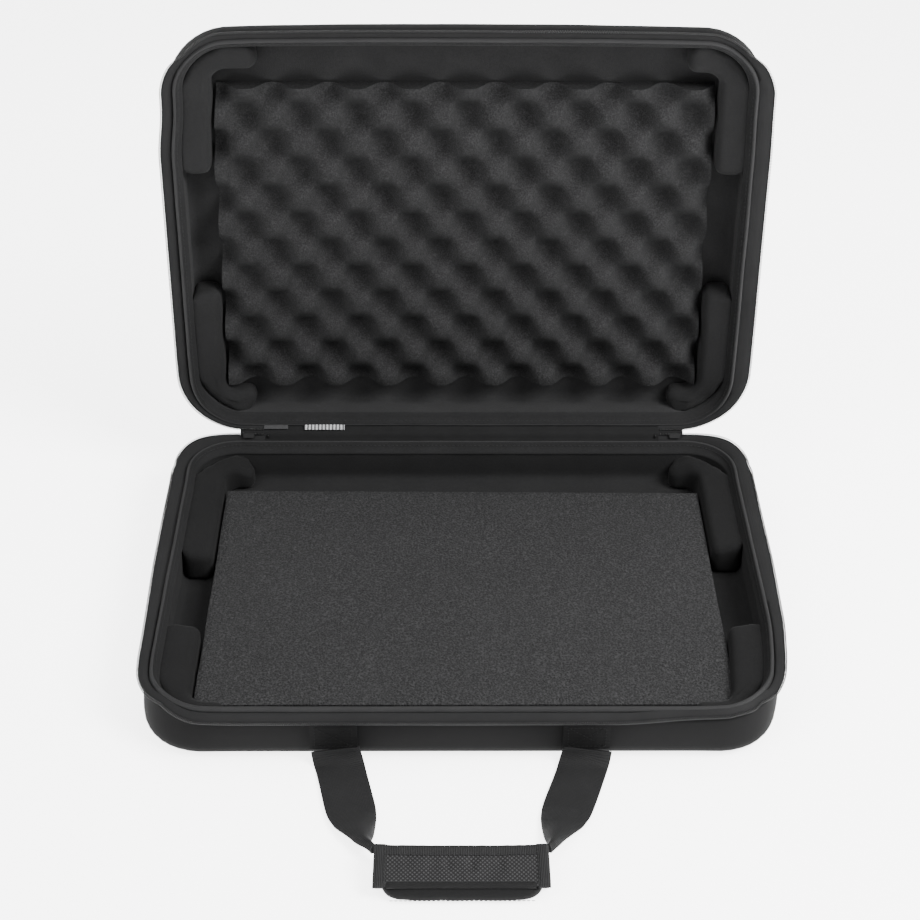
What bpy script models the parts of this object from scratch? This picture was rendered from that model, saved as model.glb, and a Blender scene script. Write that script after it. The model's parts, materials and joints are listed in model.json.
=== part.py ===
"""Moulded soft-shell carry case, standing open on its fabric hinge.

Two equal zip-round halves hold a padded liner, four L-shaped corner pads and a foam pad each.
A webbing handle with a padded wrap-around grip is sewn to the front wall.

Frame: metres, +Z up, +X to the right as seen from the handle, +Y towards the hinge.
The origin is the centre of the base's underside, which rests on the ground.
A half is modelled rim up in its own frame: origin under its centre, hinge side at +Y.
An "inset" is a distance inwards from the outer wall, so a negative one stands outside it.
"""
import bmesh
import bpy
from math import atan2, cos, pi, radians, sin
from mathutils import Matrix, Vector

# Driving dimensions of one half
WIDTH = 0.531
DEPTH = 0.395
CORNER_RADIUS = 0.054
HALF_HEIGHT = 0.047          # underside to the crest of the rim binding
GAP = 0.0003                 # air between pieces that touch

# Hinge
CREST_TO_AXIS = 0.0056       # the axis is this far above the base's rim crest
AXIS_STANDOFF = 0.0018       # and this far behind the rear wall
LID_ANGLE = radians(92.96)   # opening at rest, from closed
LEAF_HALF_LENGTH = 0.1865

# Moulded shell and liner
SHELL_WALL = 0.0040
SHELL_FLOOR = 0.0040
BOTTOM_FILLET = 0.0135
SHELL_TOP_DROP = 0.0082      # shell edge below the rim crest
LINER_FACE = 0.0125          # inset of the liner's inner face
LINER_FLOOR_TOP = 0.0080
LINER_FILLET = 0.0040

# Zip
TAPE_THICKNESS = 0.0008
TAPE_KNEE = (0.0042, -0.0036)    # inset, and height from the rim crest, where the tape turns out
TAPE_ROOT_DROP = 0.0076
COIL_RADIUS = 0.0011
COIL_OFFSET = 0.0014             # coil centre beyond the tape's edge
TAPE_REACH_REAR = 0.0066
TAPE_REACH_SIDE = 0.0083
FLARE_REAR = radians(62)         # the tape stands up where it meets the hinge,
FLARE_SIDE = radians(-12)        # lies out over the side walls
FLARE_FRONT = radians(-42)       # and droops over the front wall
ZIP_STUB_END = 0.1880            # where the zip ends on the hinge side
LID_ZIP_START = radians(78)      # the lid's tape starts this far round its rear corners
SLIDER_X = 0.2058
SLIDER_LENGTH = 0.0110
SLIDER_AIR = 0.00035             # between the coil and the slider's plates
SLIDER_PLATE = 0.0010
SLIDER_MOUTH = 0.0015            # the plates reach this far past the coil's centre, over the tape
TAB_WIDTH = 0.0060
TAB_THICKNESS = 0.0012
TAB_LENGTH = 0.0264
TAB_AIR = 0.0005                 # between a hanging tab and the rear wall
TAB_PIVOT_RISE = 0.0002          # above the rim crest
STOP_LENGTH = 0.0012
STOP_SIDE = 0.0032

# Tags on the hinge leaf: centre and width along the hinge
TAGS = {"woven_tag": (0.1328, 0.0388), "grey_tag": (0.1707, 0.0232)}
TAG_REACH = (0.22, 0.90)         # shares of the leaf's free height that they cover
TAG_LAYER = (0.0010, 0.0016)     # their two faces, from the leaf's centre line
LEAF_THICKNESS = 0.0010

# Rim binding: inset, and height from the rim crest, from its outer foot to its inner foot
BINDING_OUTER = 0.0050
BINDING_CURVE = ((0.0050, -0.0026), (0.0062, -0.0006), (0.0080, 0.0), (0.0104, -0.0010),
                 (0.0126, -0.0034))
BINDING_INNER = 0.0134

# Pads
PAD_TOP_DROP = 0.0110            # corner pads below the rim crest
SIDE_LEG_WIDTH = 0.0240
END_LEG_WIDTH = 0.0175
PAD_CROOK_RADIUS = 0.0120
PAD_TIP_RADIUS = 0.0070
FOAM_WIDTH = 0.4460
BASE_FOAM_FRONT = -0.1610
BASE_FOAM_REAR = 0.1400
BASE_FOAM_TOP_DROP = 0.0210
LID_FOAM_FRONT = -0.1450         # in the lid's own frame
LID_FOAM_REAR = 0.1580
LID_FOAM_TOP_DROP = 0.0200

# Handle
WEBBING_WIDTH = 0.0380
WEBBING_THICKNESS = 0.0016
HANDLE_CENTRE_X = -0.0047
ANCHOR_SPREAD = 0.1016           # from the handle's centre to the centre of a patch
ANCHOR_BOTTOM = 0.0150
ANCHOR_TOP = 0.0340
PATCH_THICKNESS = 0.0018
HANDLE_AXIS = (-0.1998, 0.0125)  # y and z of the line where the straps leave their patches
# A strap runs from its patch, down the wall and along the ground, and turns in to the end of the
# grip, getting narrower as it folds. Each row: distance from the handle's centre, y, z, share of
# the webbing's width, and the angle that the width is turned away from X.
STRAP_PATH = ((0.1016, -0.2000, 0.0130, 1.00, 0.00), (0.1010, -0.2030, 0.0060, 1.00, 0.03),
              (0.0993, -0.2090, 0.0020, 1.00, 0.08), (0.0955, -0.2230, 0.0010, 1.00, 0.14),
              (0.0893, -0.2450, 0.0010, 0.99, 0.17), (0.0838, -0.2650, 0.0018, 0.93, 0.28),
              (0.0785, -0.2810, 0.0035, 0.72, 0.50), (0.0742, -0.2940, 0.0060, 0.44, 0.78),
              (0.0690, -0.3080, 0.0095, 0.24, 1.00))
GRIP_LENGTH = 0.1310
GRIP_REAR_Y = -0.3163            # centres and radii of the rounded edges of the grip's padding,
GRIP_REAR_RADIUS = 0.0083        # which gets thinner away from the case
GRIP_FRONT_Y = -0.3425
GRIP_FRONT_RADIUS = 0.0055
GRIP_FLOOR = 0.0004
END_BINDING = 0.0100             # length of the tape bound round each end of the grip
END_BINDING_RISE = 0.0003        # its surface stands this far outside the padding's
FLAP_THICKNESS = 0.0024
FLAP_OVERHANG = 0.0012           # beyond the flat of the padding, where the flap is sewn
FLAP_LENGTH = 0.0282
FLAP_BINDING_LENGTH = 0.0050

STEPS = 7                        # segments round each corner
RIM = HALF_HEIGHT
REAR_WALL = DEPTH / 2
HINGE_Y = REAR_WALL + AXIS_STANDOFF
HINGE_Z = RIM + CREST_TO_AXIS

MATERIALS = {
    "shell_fabric": ((0.028, 0.028, 0.030), 0.85, 0.0),
    "fleece": ((0.020, 0.020, 0.021), 0.95, 0.0),
    "binding": ((0.024, 0.024, 0.026), 0.80, 0.0),
    "zip_tape": ((0.030, 0.030, 0.032), 0.85, 0.0),
    "zip_coil": ((0.040, 0.040, 0.042), 0.45, 0.0),
    "base_foam": ((0.050, 0.050, 0.052), 0.95, 0.0),
    "lid_foam": ((0.030, 0.030, 0.031), 0.95, 0.0),
    "hinge_fabric": ((0.026, 0.026, 0.028), 0.85, 0.0),
    "woven_tag": ((0.600, 0.600, 0.600), 0.80, 0.0),
    "grey_tag": ((0.110, 0.110, 0.110), 0.80, 0.0),
    "slider_metal": ((0.050, 0.050, 0.052), 0.40, 0.8),
    "webbing": ((0.030, 0.030, 0.031), 0.75, 0.0),
    "grip_foam": ((0.025, 0.025, 0.026), 0.95, 0.0),
    "grip_fabric": ((0.045, 0.045, 0.047), 0.80, 0.0),
    "grosgrain": ((0.024, 0.024, 0.026), 0.75, 0.0),
}


def clear_scene():
    for obj in list(bpy.data.objects):
        bpy.data.objects.remove(obj, do_unlink=True)


def make_material(name):
    colour, roughness, metallic = MATERIALS[name]
    material = bpy.data.materials.new(name)
    material.use_nodes = True
    shader = material.node_tree.nodes["Principled BSDF"]
    shader.inputs["Base Color"].default_value = (*colour, 1.0)
    shader.inputs["Roughness"].default_value = roughness
    shader.inputs["Metallic"].default_value = metallic
    return material


def make_empty(name, location, parent=None, rotation=(0, 0, 0)):
    empty = bpy.data.objects.new(name, None)
    bpy.context.scene.collection.objects.link(empty)
    empty.location = location
    empty.rotation_euler = rotation
    empty.parent = parent
    return empty


def make_object(name, mesh_builder, material, parent):
    """Link a new object built by bmesh, modelled in the frame of its parent's half or of the world."""
    mesh = bpy.data.meshes.new(name)
    shape = bmesh.new()
    mesh_builder(shape)
    bmesh.ops.recalc_face_normals(shape, faces=shape.faces)
    shape.to_mesh(mesh)
    shape.free()
    mesh.shade_smooth()
    mesh.set_sharp_from_angle(angle=radians(35))
    mesh.materials.append(material)
    obj = bpy.data.objects.new(name, mesh)
    bpy.context.scene.collection.objects.link(obj)
    obj.parent = parent
    return obj


def keep_place(obj, pivot):
    """Parent an object modelled in world coordinates to its pivot without moving it."""
    obj.parent = pivot
    obj.matrix_parent_inverse = Matrix.Translation(pivot.location).inverted()


# Outline of a half: a station is a corner centre and the direction outwards from it

def corner_stations(side_x, side_y, start, end):
    centre = (side_x * (WIDTH / 2 - CORNER_RADIUS), side_y * (DEPTH / 2 - CORNER_RADIUS))
    return [(*centre, start + (end - start) * i / STEPS) for i in range(STEPS + 1)]


def loop_stations():
    """All round the half, anticlockwise from its rear right corner."""
    return (corner_stations(-1, 1, radians(90), radians(180))
            + corner_stations(-1, -1, radians(180), radians(270))
            + corner_stations(1, -1, radians(270), radians(360))
            + corner_stations(1, 1, radians(0), radians(90)))


def zip_stations(stub_end=None, corner_start=radians(90)):
    """Round three sides, from the hinge's left end to its right end."""
    rear_y = DEPTH / 2 - CORNER_RADIUS
    left = corner_stations(-1, 1, pi - corner_start, radians(180))
    right = corner_stations(1, 1, radians(0), corner_start)
    middle = (corner_stations(-1, -1, radians(180), radians(270))
              + corner_stations(1, -1, radians(270), radians(360)))
    stations = left + middle + right
    if stub_end:
        stations = [(-stub_end, rear_y, radians(90))] + stations + [(stub_end, rear_y, radians(90))]
    return stations


def station_point(station, inset, z):
    centre_x, centre_y, direction = station
    radius = CORNER_RADIUS - inset
    return (centre_x + radius * cos(direction), centre_y + radius * sin(direction), z)


def bridge(shape, ring_a, ring_b, closed):
    count = len(ring_a)
    for i in range(count if closed else count - 1):
        j = (i + 1) % count
        shape.faces.new((ring_a[i], ring_a[j], ring_b[j], ring_b[i]))


def sweep(stations, profile_at, closed):
    """Sweep a closed profile of (inset, z) points along the stations."""
    def build(shape):
        rings = [[shape.verts.new(station_point(s, *p)) for p in profile_at(s)] for s in stations]
        for a, b in zip(rings, rings[1:]):
            bridge(shape, a, b, True)
        if closed:
            bridge(shape, rings[-1], rings[0], True)
        else:
            shape.faces.new(rings[0])
            shape.faces.new(rings[-1])
    return build


def cup(profile):
    """Stack one ring round the whole outline for each (inset, z) point, and cap both ends."""
    def build(shape):
        rings = [[shape.verts.new(station_point(s, *p)) for s in loop_stations()] for p in profile]
        for a, b in zip(rings, rings[1:]):
            bridge(shape, a, b, True)
        shape.faces.new(rings[0])
        shape.faces.new(rings[-1])
    return build


def prism(outline, direction, start, end):
    """Extrude a closed outline of points from start to end along a direction."""
    def build(shape):
        axis = Vector(direction)
        low = [shape.verts.new(Vector(p) + axis * start) for p in outline]
        high = [shape.verts.new(Vector(p) + axis * end) for p in outline]
        bridge(shape, low, high, True)
        shape.faces.new(low)
        shape.faces.new(high)
    return build


def slab(low, high):
    outline = [(low[0], low[1], 0), (high[0], low[1], 0), (high[0], high[1], 0), (low[0], high[1], 0)]
    return prism(outline, (0, 0, 1), low[2], high[2])


def arc(centre, radius, start, end, steps):
    angles = [start + (end - start) * i / steps for i in range(steps + 1)]
    return [(centre[0] + radius * cos(a), centre[1] + radius * sin(a)) for a in angles]


def add_bevel(obj, width, segments):
    bevel = obj.modifiers.new("edges", "BEVEL")
    bevel.width = width
    bevel.segments = segments
    bevel.limit_method = "ANGLE"
    bevel.angle_limit = radians(50)


# Pieces of a half

def shell_profile():
    fillet = arc((BOTTOM_FILLET, BOTTOM_FILLET), BOTTOM_FILLET, radians(270), radians(180), 4)
    top = RIM - SHELL_TOP_DROP
    inner = SHELL_WALL
    inner_fillet = BOTTOM_FILLET - SHELL_WALL
    inside = arc((inner + inner_fillet, SHELL_FLOOR + inner_fillet), inner_fillet,
                 radians(180), radians(270), 3)
    edge = [(0.0, top - 0.0028), (0.0008, top - 0.0011), (0.0022, top)]
    return fillet + edge + [(inner, top)] + inside


def liner_profile():
    outer = SHELL_WALL + GAP
    fillet_radius = BOTTOM_FILLET - SHELL_WALL
    floor = SHELL_FLOOR + GAP
    fillet = arc((outer + fillet_radius, floor + fillet_radius), fillet_radius,
                 radians(270), radians(180), 3)
    top = RIM - TAPE_ROOT_DROP
    inside = arc((LINER_FACE + LINER_FILLET, LINER_FLOOR_TOP + LINER_FILLET), LINER_FILLET,
                 radians(180), radians(270), 2)
    return fillet + [(outer, top), (LINER_FACE, top)] + inside


def binding_profile(_station):
    foot = RIM - TAPE_ROOT_DROP + GAP
    curve = [(inset, RIM + rise) for inset, rise in BINDING_CURVE]
    return [(BINDING_OUTER, foot)] + curve + [(BINDING_INNER, foot)]


def rear_share(direction):
    """1 where the outline faces the hinge, 0 where it faces the sides or the front."""
    share = (sin(direction) - sin(radians(45))) / (1 - sin(radians(45)))
    return max(0.0, share)


def tape_flare(direction):
    front = max(0.0, -sin(direction))
    side = FLARE_SIDE + (FLARE_FRONT - FLARE_SIDE) * front
    return side + (FLARE_REAR - side) * rear_share(direction)


def tape_point(direction, beyond):
    """Inset and z of a point past the tape's free edge, in the plane of the flared tape."""
    share = rear_share(direction)
    reach = TAPE_REACH_SIDE + (TAPE_REACH_REAR - TAPE_REACH_SIDE) * share + beyond
    flare = tape_flare(direction)
    return TAPE_KNEE[0] - reach * cos(flare), RIM + TAPE_KNEE[1] + reach * sin(flare)


def tape_profile(station):
    direction = station[2]
    flare = tape_flare(direction)
    across = (sin(flare) * TAPE_THICKNESS / 2, cos(flare) * TAPE_THICKNESS / 2)
    edge = tape_point(direction, 0)
    knee = (TAPE_KNEE[0], RIM + TAPE_KNEE[1])
    half = TAPE_THICKNESS / 2
    root = RIM - TAPE_ROOT_DROP
    return [(knee[0] - half, root), (knee[0] + half, root), (knee[0] + half, knee[1] + half),
            (edge[0] + across[0], edge[1] + across[1]),
            (edge[0] - across[0], edge[1] - across[1]), (knee[0] - half, knee[1] - half)]


def coil_profile(station):
    centre = tape_point(station[2], COIL_OFFSET + GAP)
    return arc(centre, COIL_RADIUS, 0, radians(300), 5)


def leaf_line():
    """Centre line of a hinge leaf: sewn root, knee, and free edge beside the axis."""
    root = (TAPE_KNEE[0], RIM - TAPE_ROOT_DROP)
    knee = (TAPE_KNEE[0], RIM + TAPE_KNEE[1])
    tip = (0.0008 - AXIS_STANDOFF, RIM + CREST_TO_AXIS - 0.0009)
    return root, knee, tip


def leaf_outline():
    half = LEAF_THICKNESS / 2
    root, knee, tip = leaf_line()
    points = [(root[0] - half, root[1]), (root[0] + half, root[1]), (knee[0] + half, knee[1]),
              (tip[0] + half, tip[1]), (tip[0] - half, tip[1]), (knee[0] - half, knee[1])]
    return [(0, REAR_WALL - inset, z) for inset, z in points]


def corner_pad(side_x, side_y, side_leg, end_leg):
    """L-shaped pad: a leg along the side wall and a shorter one along the front or rear wall."""
    face = LINER_FACE + GAP
    outer_x, outer_y = WIDTH / 2 - face, DEPTH / 2 - face
    radius = CORNER_RADIUS - face
    inner_x, inner_y = outer_x - SIDE_LEG_WIDTH, outer_y - END_LEG_WIDTH
    outline = (arc((outer_x - radius, outer_y - radius), radius, 0, radians(90), 5)
               + arc((outer_x - end_leg + PAD_TIP_RADIUS, outer_y - PAD_TIP_RADIUS), PAD_TIP_RADIUS,
                     radians(90), radians(180), 2)
               + arc((outer_x - end_leg + PAD_TIP_RADIUS, inner_y + PAD_TIP_RADIUS), PAD_TIP_RADIUS,
                     radians(180), radians(270), 2)
               + arc((inner_x - PAD_CROOK_RADIUS, inner_y - PAD_CROOK_RADIUS), PAD_CROOK_RADIUS,
                     radians(90), radians(0), 3)
               + arc((inner_x + PAD_TIP_RADIUS, outer_y - side_leg + PAD_TIP_RADIUS), PAD_TIP_RADIUS,
                     radians(180), radians(270), 2)
               + arc((outer_x - PAD_TIP_RADIUS, outer_y - side_leg + PAD_TIP_RADIUS), PAD_TIP_RADIUS,
                     radians(270), radians(360), 2))
    points = [(side_x * x, side_y * y, 0) for x, y in outline]
    return prism(points, (0, 0, 1), LINER_FLOOR_TOP + LINER_FILLET + GAP, RIM - PAD_TOP_DROP)


def build_half(half, parent, materials, zip_path, foam, pads):
    """The pieces that both halves have, in the half's own frame."""
    make_object(half + "_shell", cup(shell_profile()), materials["shell_fabric"], parent)
    make_object(half + "_liner", cup(liner_profile()), materials["fleece"], parent)
    make_object(half + "_rim_binding", sweep(loop_stations(), binding_profile, True),
                materials["binding"], parent)
    make_object(half + "_zip_tape", sweep(zip_path, tape_profile, False), materials["zip_tape"], parent)
    make_object(half + "_zip_coil", sweep(zip_path, coil_profile, False), materials["zip_coil"], parent)
    make_object(half + "_hinge_leaf",
                prism(leaf_outline(), (1, 0, 0), -LEAF_HALF_LENGTH, LEAF_HALF_LENGTH),
                materials["hinge_fabric"], parent)
    for name, side_x, side_y, side_leg, end_leg in pads:
        pad = make_object(half + "_corner_pad_" + name, corner_pad(side_x, side_y, side_leg, end_leg),
                          materials["fleece"], parent)
        add_bevel(pad, 0.003, 1)
    front, rear, top_drop = foam
    pad = make_object(half + "_foam_pad",
                      slab((-FOAM_WIDTH / 2, front, LINER_FLOOR_TOP + GAP),
                           (FOAM_WIDTH / 2, rear, RIM - top_drop)),
                      materials[half + "_foam"], parent)
    add_bevel(pad, 0.0015, 1)


def build_tags(parent, materials):
    """Two blank tags sewn on the inner face of the lid's hinge leaf."""
    _root, knee, tip = leaf_line()
    along = Vector((0, knee[0] - tip[0], tip[1] - knee[1]))
    inner = Vector((0, -along.z, along.y)).normalized()
    start = Vector((0, REAR_WALL - knee[0], knee[1]))
    (low, high), (near, far) = TAG_REACH, TAG_LAYER
    outline = [start + along * share + inner * rise
               for share, rise in ((low, near), (high, near), (high, far), (low, far))]
    for name, (centre_x, width) in TAGS.items():
        make_object(name, prism(outline, (1, 0, 0), centre_x - width / 2, centre_x + width / 2),
                    materials[name], parent)


# Sliders at the hinge ends of the zip

def slider_outline():
    """Two plates round the coil, joined past its free side."""
    direction = radians(90)
    centre_inset, centre_z = tape_point(direction, COIL_OFFSET + GAP)
    centre = Vector((0, REAR_WALL - centre_inset, centre_z))
    along = Vector((0, cos(FLARE_REAR), sin(FLARE_REAR)))
    across = Vector((0, sin(FLARE_REAR), -cos(FLARE_REAR)))
    inner = COIL_RADIUS + SLIDER_AIR
    outer = inner + SLIDER_PLATE
    points = [(-SLIDER_MOUTH, inner), (inner, inner), (inner, -inner), (-SLIDER_MOUTH, -inner),
              (-SLIDER_MOUTH, -outer), (outer, -outer), (outer, outer), (-SLIDER_MOUTH, outer)]
    return [centre + along * a + across * b for a, b in points]


def build_sliders(materials):
    tab_inner = REAR_WALL + TAB_AIR
    pivot_z = RIM + TAB_PIVOT_RISE
    stop_inset, stop_z = tape_point(radians(90), COIL_OFFSET)
    stop_y = REAR_WALL - stop_inset
    for side, sign in (("left", -1), ("right", 1)):
        centre = sign * SLIDER_X
        pivot = make_empty("slider_pivot_" + side, (centre, REAR_WALL, pivot_z))
        body = make_object("zip_slider_" + side,
                           prism(slider_outline(), (1, 0, 0), centre - SLIDER_LENGTH / 2,
                                 centre + SLIDER_LENGTH / 2), materials["slider_metal"], None)
        keep_place(body, pivot)
        tab_pivot = make_empty("tab_pivot_" + side, (centre, tab_inner + TAB_THICKNESS / 2, pivot_z))
        top = pivot_z + TAB_PIVOT_RISE
        tab = make_object("pull_tab_" + side,
                          slab((centre - TAB_WIDTH / 2, tab_inner, top - TAB_LENGTH),
                               (centre + TAB_WIDTH / 2, tab_inner + TAB_THICKNESS, top)),
                          materials["slider_metal"], None)
        keep_place(tab, tab_pivot)
        edge = sign * (ZIP_STUB_END - GAP)
        low, high = sorted((edge, edge - sign * STOP_LENGTH))
        make_object("zip_stop_" + side,
                    slab((low, stop_y - STOP_SIDE / 2, stop_z - STOP_SIDE / 2),
                         (high, stop_y + STOP_SIDE / 2, stop_z + STOP_SIDE / 2)),
                    materials["slider_metal"], None)


# Handle

def ribbon(stations):
    """Webbing through (x, y, z, width, yaw) stations: yaw turns the width away from +X."""
    def build(shape):
        rings = []
        for i, (x, y, z, width, yaw) in enumerate(stations):
            before, after = stations[max(i - 1, 0)], stations[min(i + 1, len(stations) - 1)]
            tangent = Vector([after[k] - before[k] for k in range(3)]).normalized()
            side = Vector((cos(yaw), sin(yaw), 0))
            side = (side - tangent * side.dot(tangent)).normalized() * (width / 2)
            up = side.cross(tangent).normalized() * (WEBBING_THICKNESS / 2)
            centre = Vector((x, y, z))
            rings.append([shape.verts.new(centre + a * side + b * up)
                          for a, b in ((-1, -1), (1, -1), (1, 1), (-1, 1))])
        for a, b in zip(rings, rings[1:]):
            bridge(shape, a, b, True)
        shape.faces.new(rings[0])
        shape.faces.new(rings[-1])
    return build


def strap_stations(sign):
    return [(HANDLE_CENTRE_X + sign * spread, y, z, share * WEBBING_WIDTH, sign * yaw)
            for spread, y, z, share, yaw in STRAP_PATH]


def grip_slope():
    """Angle above the ground of the padding's top, which touches both rounded edges."""
    rise = GRIP_REAR_RADIUS - GRIP_FRONT_RADIUS
    return 2 * atan2(rise, GRIP_REAR_Y - GRIP_FRONT_Y)


def grip_outline(rise):
    """Cross-section of the grip's padding, rise outside its surface."""
    top = radians(90) + grip_slope()
    rear = arc((GRIP_REAR_Y, GRIP_FLOOR + GRIP_REAR_RADIUS), GRIP_REAR_RADIUS + rise,
               radians(-90), top, 4)
    front = arc((GRIP_FRONT_Y, GRIP_FLOOR + GRIP_FRONT_RADIUS), GRIP_FRONT_RADIUS + rise,
                top, radians(270), 4)
    return [(0, y, z) for y, z in rear + front]


def flap_point(along, rise):
    """Point over the padding: along its sloping top from the sewn edge, and above the end bindings."""
    slope = grip_slope()
    outwards = Vector((0, -sin(slope), cos(slope)))
    centre = Vector((0, GRIP_FRONT_Y, GRIP_FLOOR + GRIP_FRONT_RADIUS))
    start = centre + outwards * (GRIP_FRONT_RADIUS + END_BINDING_RISE + GAP)
    return start + Vector((0, cos(slope), sin(slope))) * (along - FLAP_OVERHANG) + outwards * rise


def flap_outline(start, end, bottom):
    return [flap_point(start, bottom), flap_point(end, bottom),
            flap_point(end, FLAP_THICKNESS), flap_point(start, FLAP_THICKNESS)]


def build_handle(materials):
    pivot = make_empty("handle_pivot", (0, *HANDLE_AXIS))
    pieces = []
    wall = -DEPTH / 2 - GAP
    for side, sign in (("left", -1), ("right", 1)):
        centre = HANDLE_CENTRE_X + sign * ANCHOR_SPREAD
        patch = slab((centre - WEBBING_WIDTH / 2, wall - PATCH_THICKNESS, ANCHOR_BOTTOM),
                     (centre + WEBBING_WIDTH / 2, wall, ANCHOR_TOP))
        make_object("anchor_patch_" + side, patch, materials["webbing"], None)
        pieces.append(make_object("strap_" + side, ribbon(strap_stations(sign)),
                                  materials["webbing"], None))
    start, end = HANDLE_CENTRE_X - GRIP_LENGTH / 2, HANDLE_CENTRE_X + GRIP_LENGTH / 2
    core = prism(grip_outline(0), (1, 0, 0), start + END_BINDING + GAP, end - END_BINDING - GAP)
    pieces.append(make_object("grip_core", core, materials["grip_foam"], None))
    for side, low in (("left", start), ("right", end - END_BINDING)):
        band = prism(grip_outline(END_BINDING_RISE), (1, 0, 0), low, low + END_BINDING)
        pieces.append(make_object("grip_end_binding_" + side, band, materials["grosgrain"], None))
    for piece in pieces:
        keep_place(piece, pivot)

    flap_pivot = make_empty("flap_pivot", flap_point(0, GAP))
    edge = FLAP_LENGTH + GAP
    for name, outline, slot in (
            ("grip_flap", flap_outline(0, FLAP_LENGTH, 0), "grip_fabric"),
            ("grip_flap_binding", flap_outline(edge, edge + FLAP_BINDING_LENGTH, 0), "grosgrain")):
        keep_place(make_object(name, prism(outline, (1, 0, 0), start, end), materials[slot], None),
                   flap_pivot)


def build_case():
    clear_scene()
    materials = {name: make_material(name) for name in MATERIALS}
    base_frame = make_empty("base_frame", (0, 0, 0))
    lid_pivot = make_empty("lid_pivot", (0, HINGE_Y, HINGE_Z), rotation=(pi - LID_ANGLE, 0, 0))
    lid_frame = make_empty("lid_frame", (0, HINGE_Y, -HINGE_Z), lid_pivot, (0, 0, pi))

    base_pads = (("front_left", -1, -1, 0.117, 0.058), ("front_right", 1, -1, 0.117, 0.062),
                 ("rear_left", -1, 1, 0.160, 0.060), ("rear_right", 1, 1, 0.150, 0.060))
    # The lid's frame is turned about Z, so its -X side is on the right.
    lid_pads = (("top_left", 1, -1, 0.125, 0.067), ("top_right", -1, -1, 0.125, 0.055),
                ("bottom_left", 1, 1, 0.128, 0.058), ("bottom_right", -1, 1, 0.128, 0.058))
    build_half("base", base_frame, materials, zip_stations(ZIP_STUB_END),
               (BASE_FOAM_FRONT, BASE_FOAM_REAR, BASE_FOAM_TOP_DROP), base_pads)
    build_half("lid", lid_frame, materials, zip_stations(None, LID_ZIP_START),
               (LID_FOAM_FRONT, LID_FOAM_REAR, LID_FOAM_TOP_DROP), lid_pads)
    build_tags(lid_frame, materials)
    build_sliders(materials)
    build_handle(materials)
    bpy.context.view_layer.update()


build_case()
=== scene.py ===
"""Looks of the moulded soft-shell carry case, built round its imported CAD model.

Metres, +Z up. A half of the case is modelled rim up in its own frame, with the origin under its
centre and the hinge side at +Y; BASE and LID place the two halves. An inset is a distance inwards
from the outer wall. Every mesh piece is written in the row's frame at rest and rides on its body.
"""
import json
from math import asin, ceil, cos, pi, radians, sin, sqrt

import bmesh
import bpy
from mathutils import Matrix, Vector, noise


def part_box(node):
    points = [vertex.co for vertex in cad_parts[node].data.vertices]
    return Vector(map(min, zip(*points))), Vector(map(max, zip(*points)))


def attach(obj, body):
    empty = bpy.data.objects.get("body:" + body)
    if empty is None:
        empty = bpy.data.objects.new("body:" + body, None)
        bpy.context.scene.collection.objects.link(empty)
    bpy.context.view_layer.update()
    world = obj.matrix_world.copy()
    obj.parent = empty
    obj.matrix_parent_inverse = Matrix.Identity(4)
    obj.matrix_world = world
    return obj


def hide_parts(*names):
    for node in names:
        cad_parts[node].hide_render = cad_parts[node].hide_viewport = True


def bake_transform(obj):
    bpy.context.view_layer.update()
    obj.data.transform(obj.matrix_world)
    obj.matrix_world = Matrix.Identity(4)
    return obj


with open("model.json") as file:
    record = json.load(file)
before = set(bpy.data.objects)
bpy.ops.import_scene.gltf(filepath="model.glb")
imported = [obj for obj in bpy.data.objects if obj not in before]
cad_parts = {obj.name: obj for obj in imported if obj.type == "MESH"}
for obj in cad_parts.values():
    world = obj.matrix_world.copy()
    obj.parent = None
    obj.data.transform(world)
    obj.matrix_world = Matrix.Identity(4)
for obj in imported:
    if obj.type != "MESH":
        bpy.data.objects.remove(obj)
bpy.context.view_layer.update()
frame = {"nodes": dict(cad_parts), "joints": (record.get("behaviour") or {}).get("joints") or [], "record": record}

# Sizes read from the frame
shell_low, shell_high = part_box("base_shell")
WIDTH = shell_high.x - shell_low.x
DEPTH = shell_high.y - shell_low.y
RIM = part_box("base_rim_binding")[1].z
hinge = next(joint for joint in frame["joints"] if joint["name"] == "lid_hinge")
HINGE = Vector(hinge["pos_m"])
OPEN_ANGLE = radians(-hinge["range_deg"][0])
BASE = Matrix.Identity(4)
LID = (Matrix.Translation(HINGE) @ Matrix.Rotation(pi - OPEN_ANGLE, 4, "X")
       @ Matrix.Translation((0, HINGE.y, -HINGE.z)) @ Matrix.Rotation(pi, 4, "Z"))

# Sizes of the half that the frame's boxes don't show
CORNER = 0.054
MM = 0.001
LINER_FACE = 12.5 * MM
LINER_FLOOR = 8 * MM
SIDE_X = WIDTH / 2 - CORNER
SIDE_Y = DEPTH / 2 - CORNER
ARC = CORNER * pi / 2
PERIMETER = 4 * (SIDE_X + SIDE_Y + ARC)


# ---------------------------------------------------------------- outline and meshes

def walk_outline():
    """Straights and corners of the outer wall, anticlockwise from the middle of the hinge side."""
    runs, place, heading, start = [], Vector((0, DEPTH / 2)), pi, 0.0
    for length, turns in ((SIDE_X, False), (ARC, True), (2 * SIDE_Y, False), (ARC, True),
                          (2 * SIDE_X, False), (ARC, True), (2 * SIDE_Y, False), (ARC, True),
                          (SIDE_X, False)):
        runs.append((start, start + length, place.copy(), heading, turns))
        if turns:
            place += CORNER * Vector((-sin(heading), cos(heading)))
            heading += pi / 2
            place -= CORNER * Vector((-sin(heading), cos(heading)))
        else:
            place += length * Vector((cos(heading), sin(heading)))
        start += length
    return runs


RUNS = walk_outline()


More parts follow.
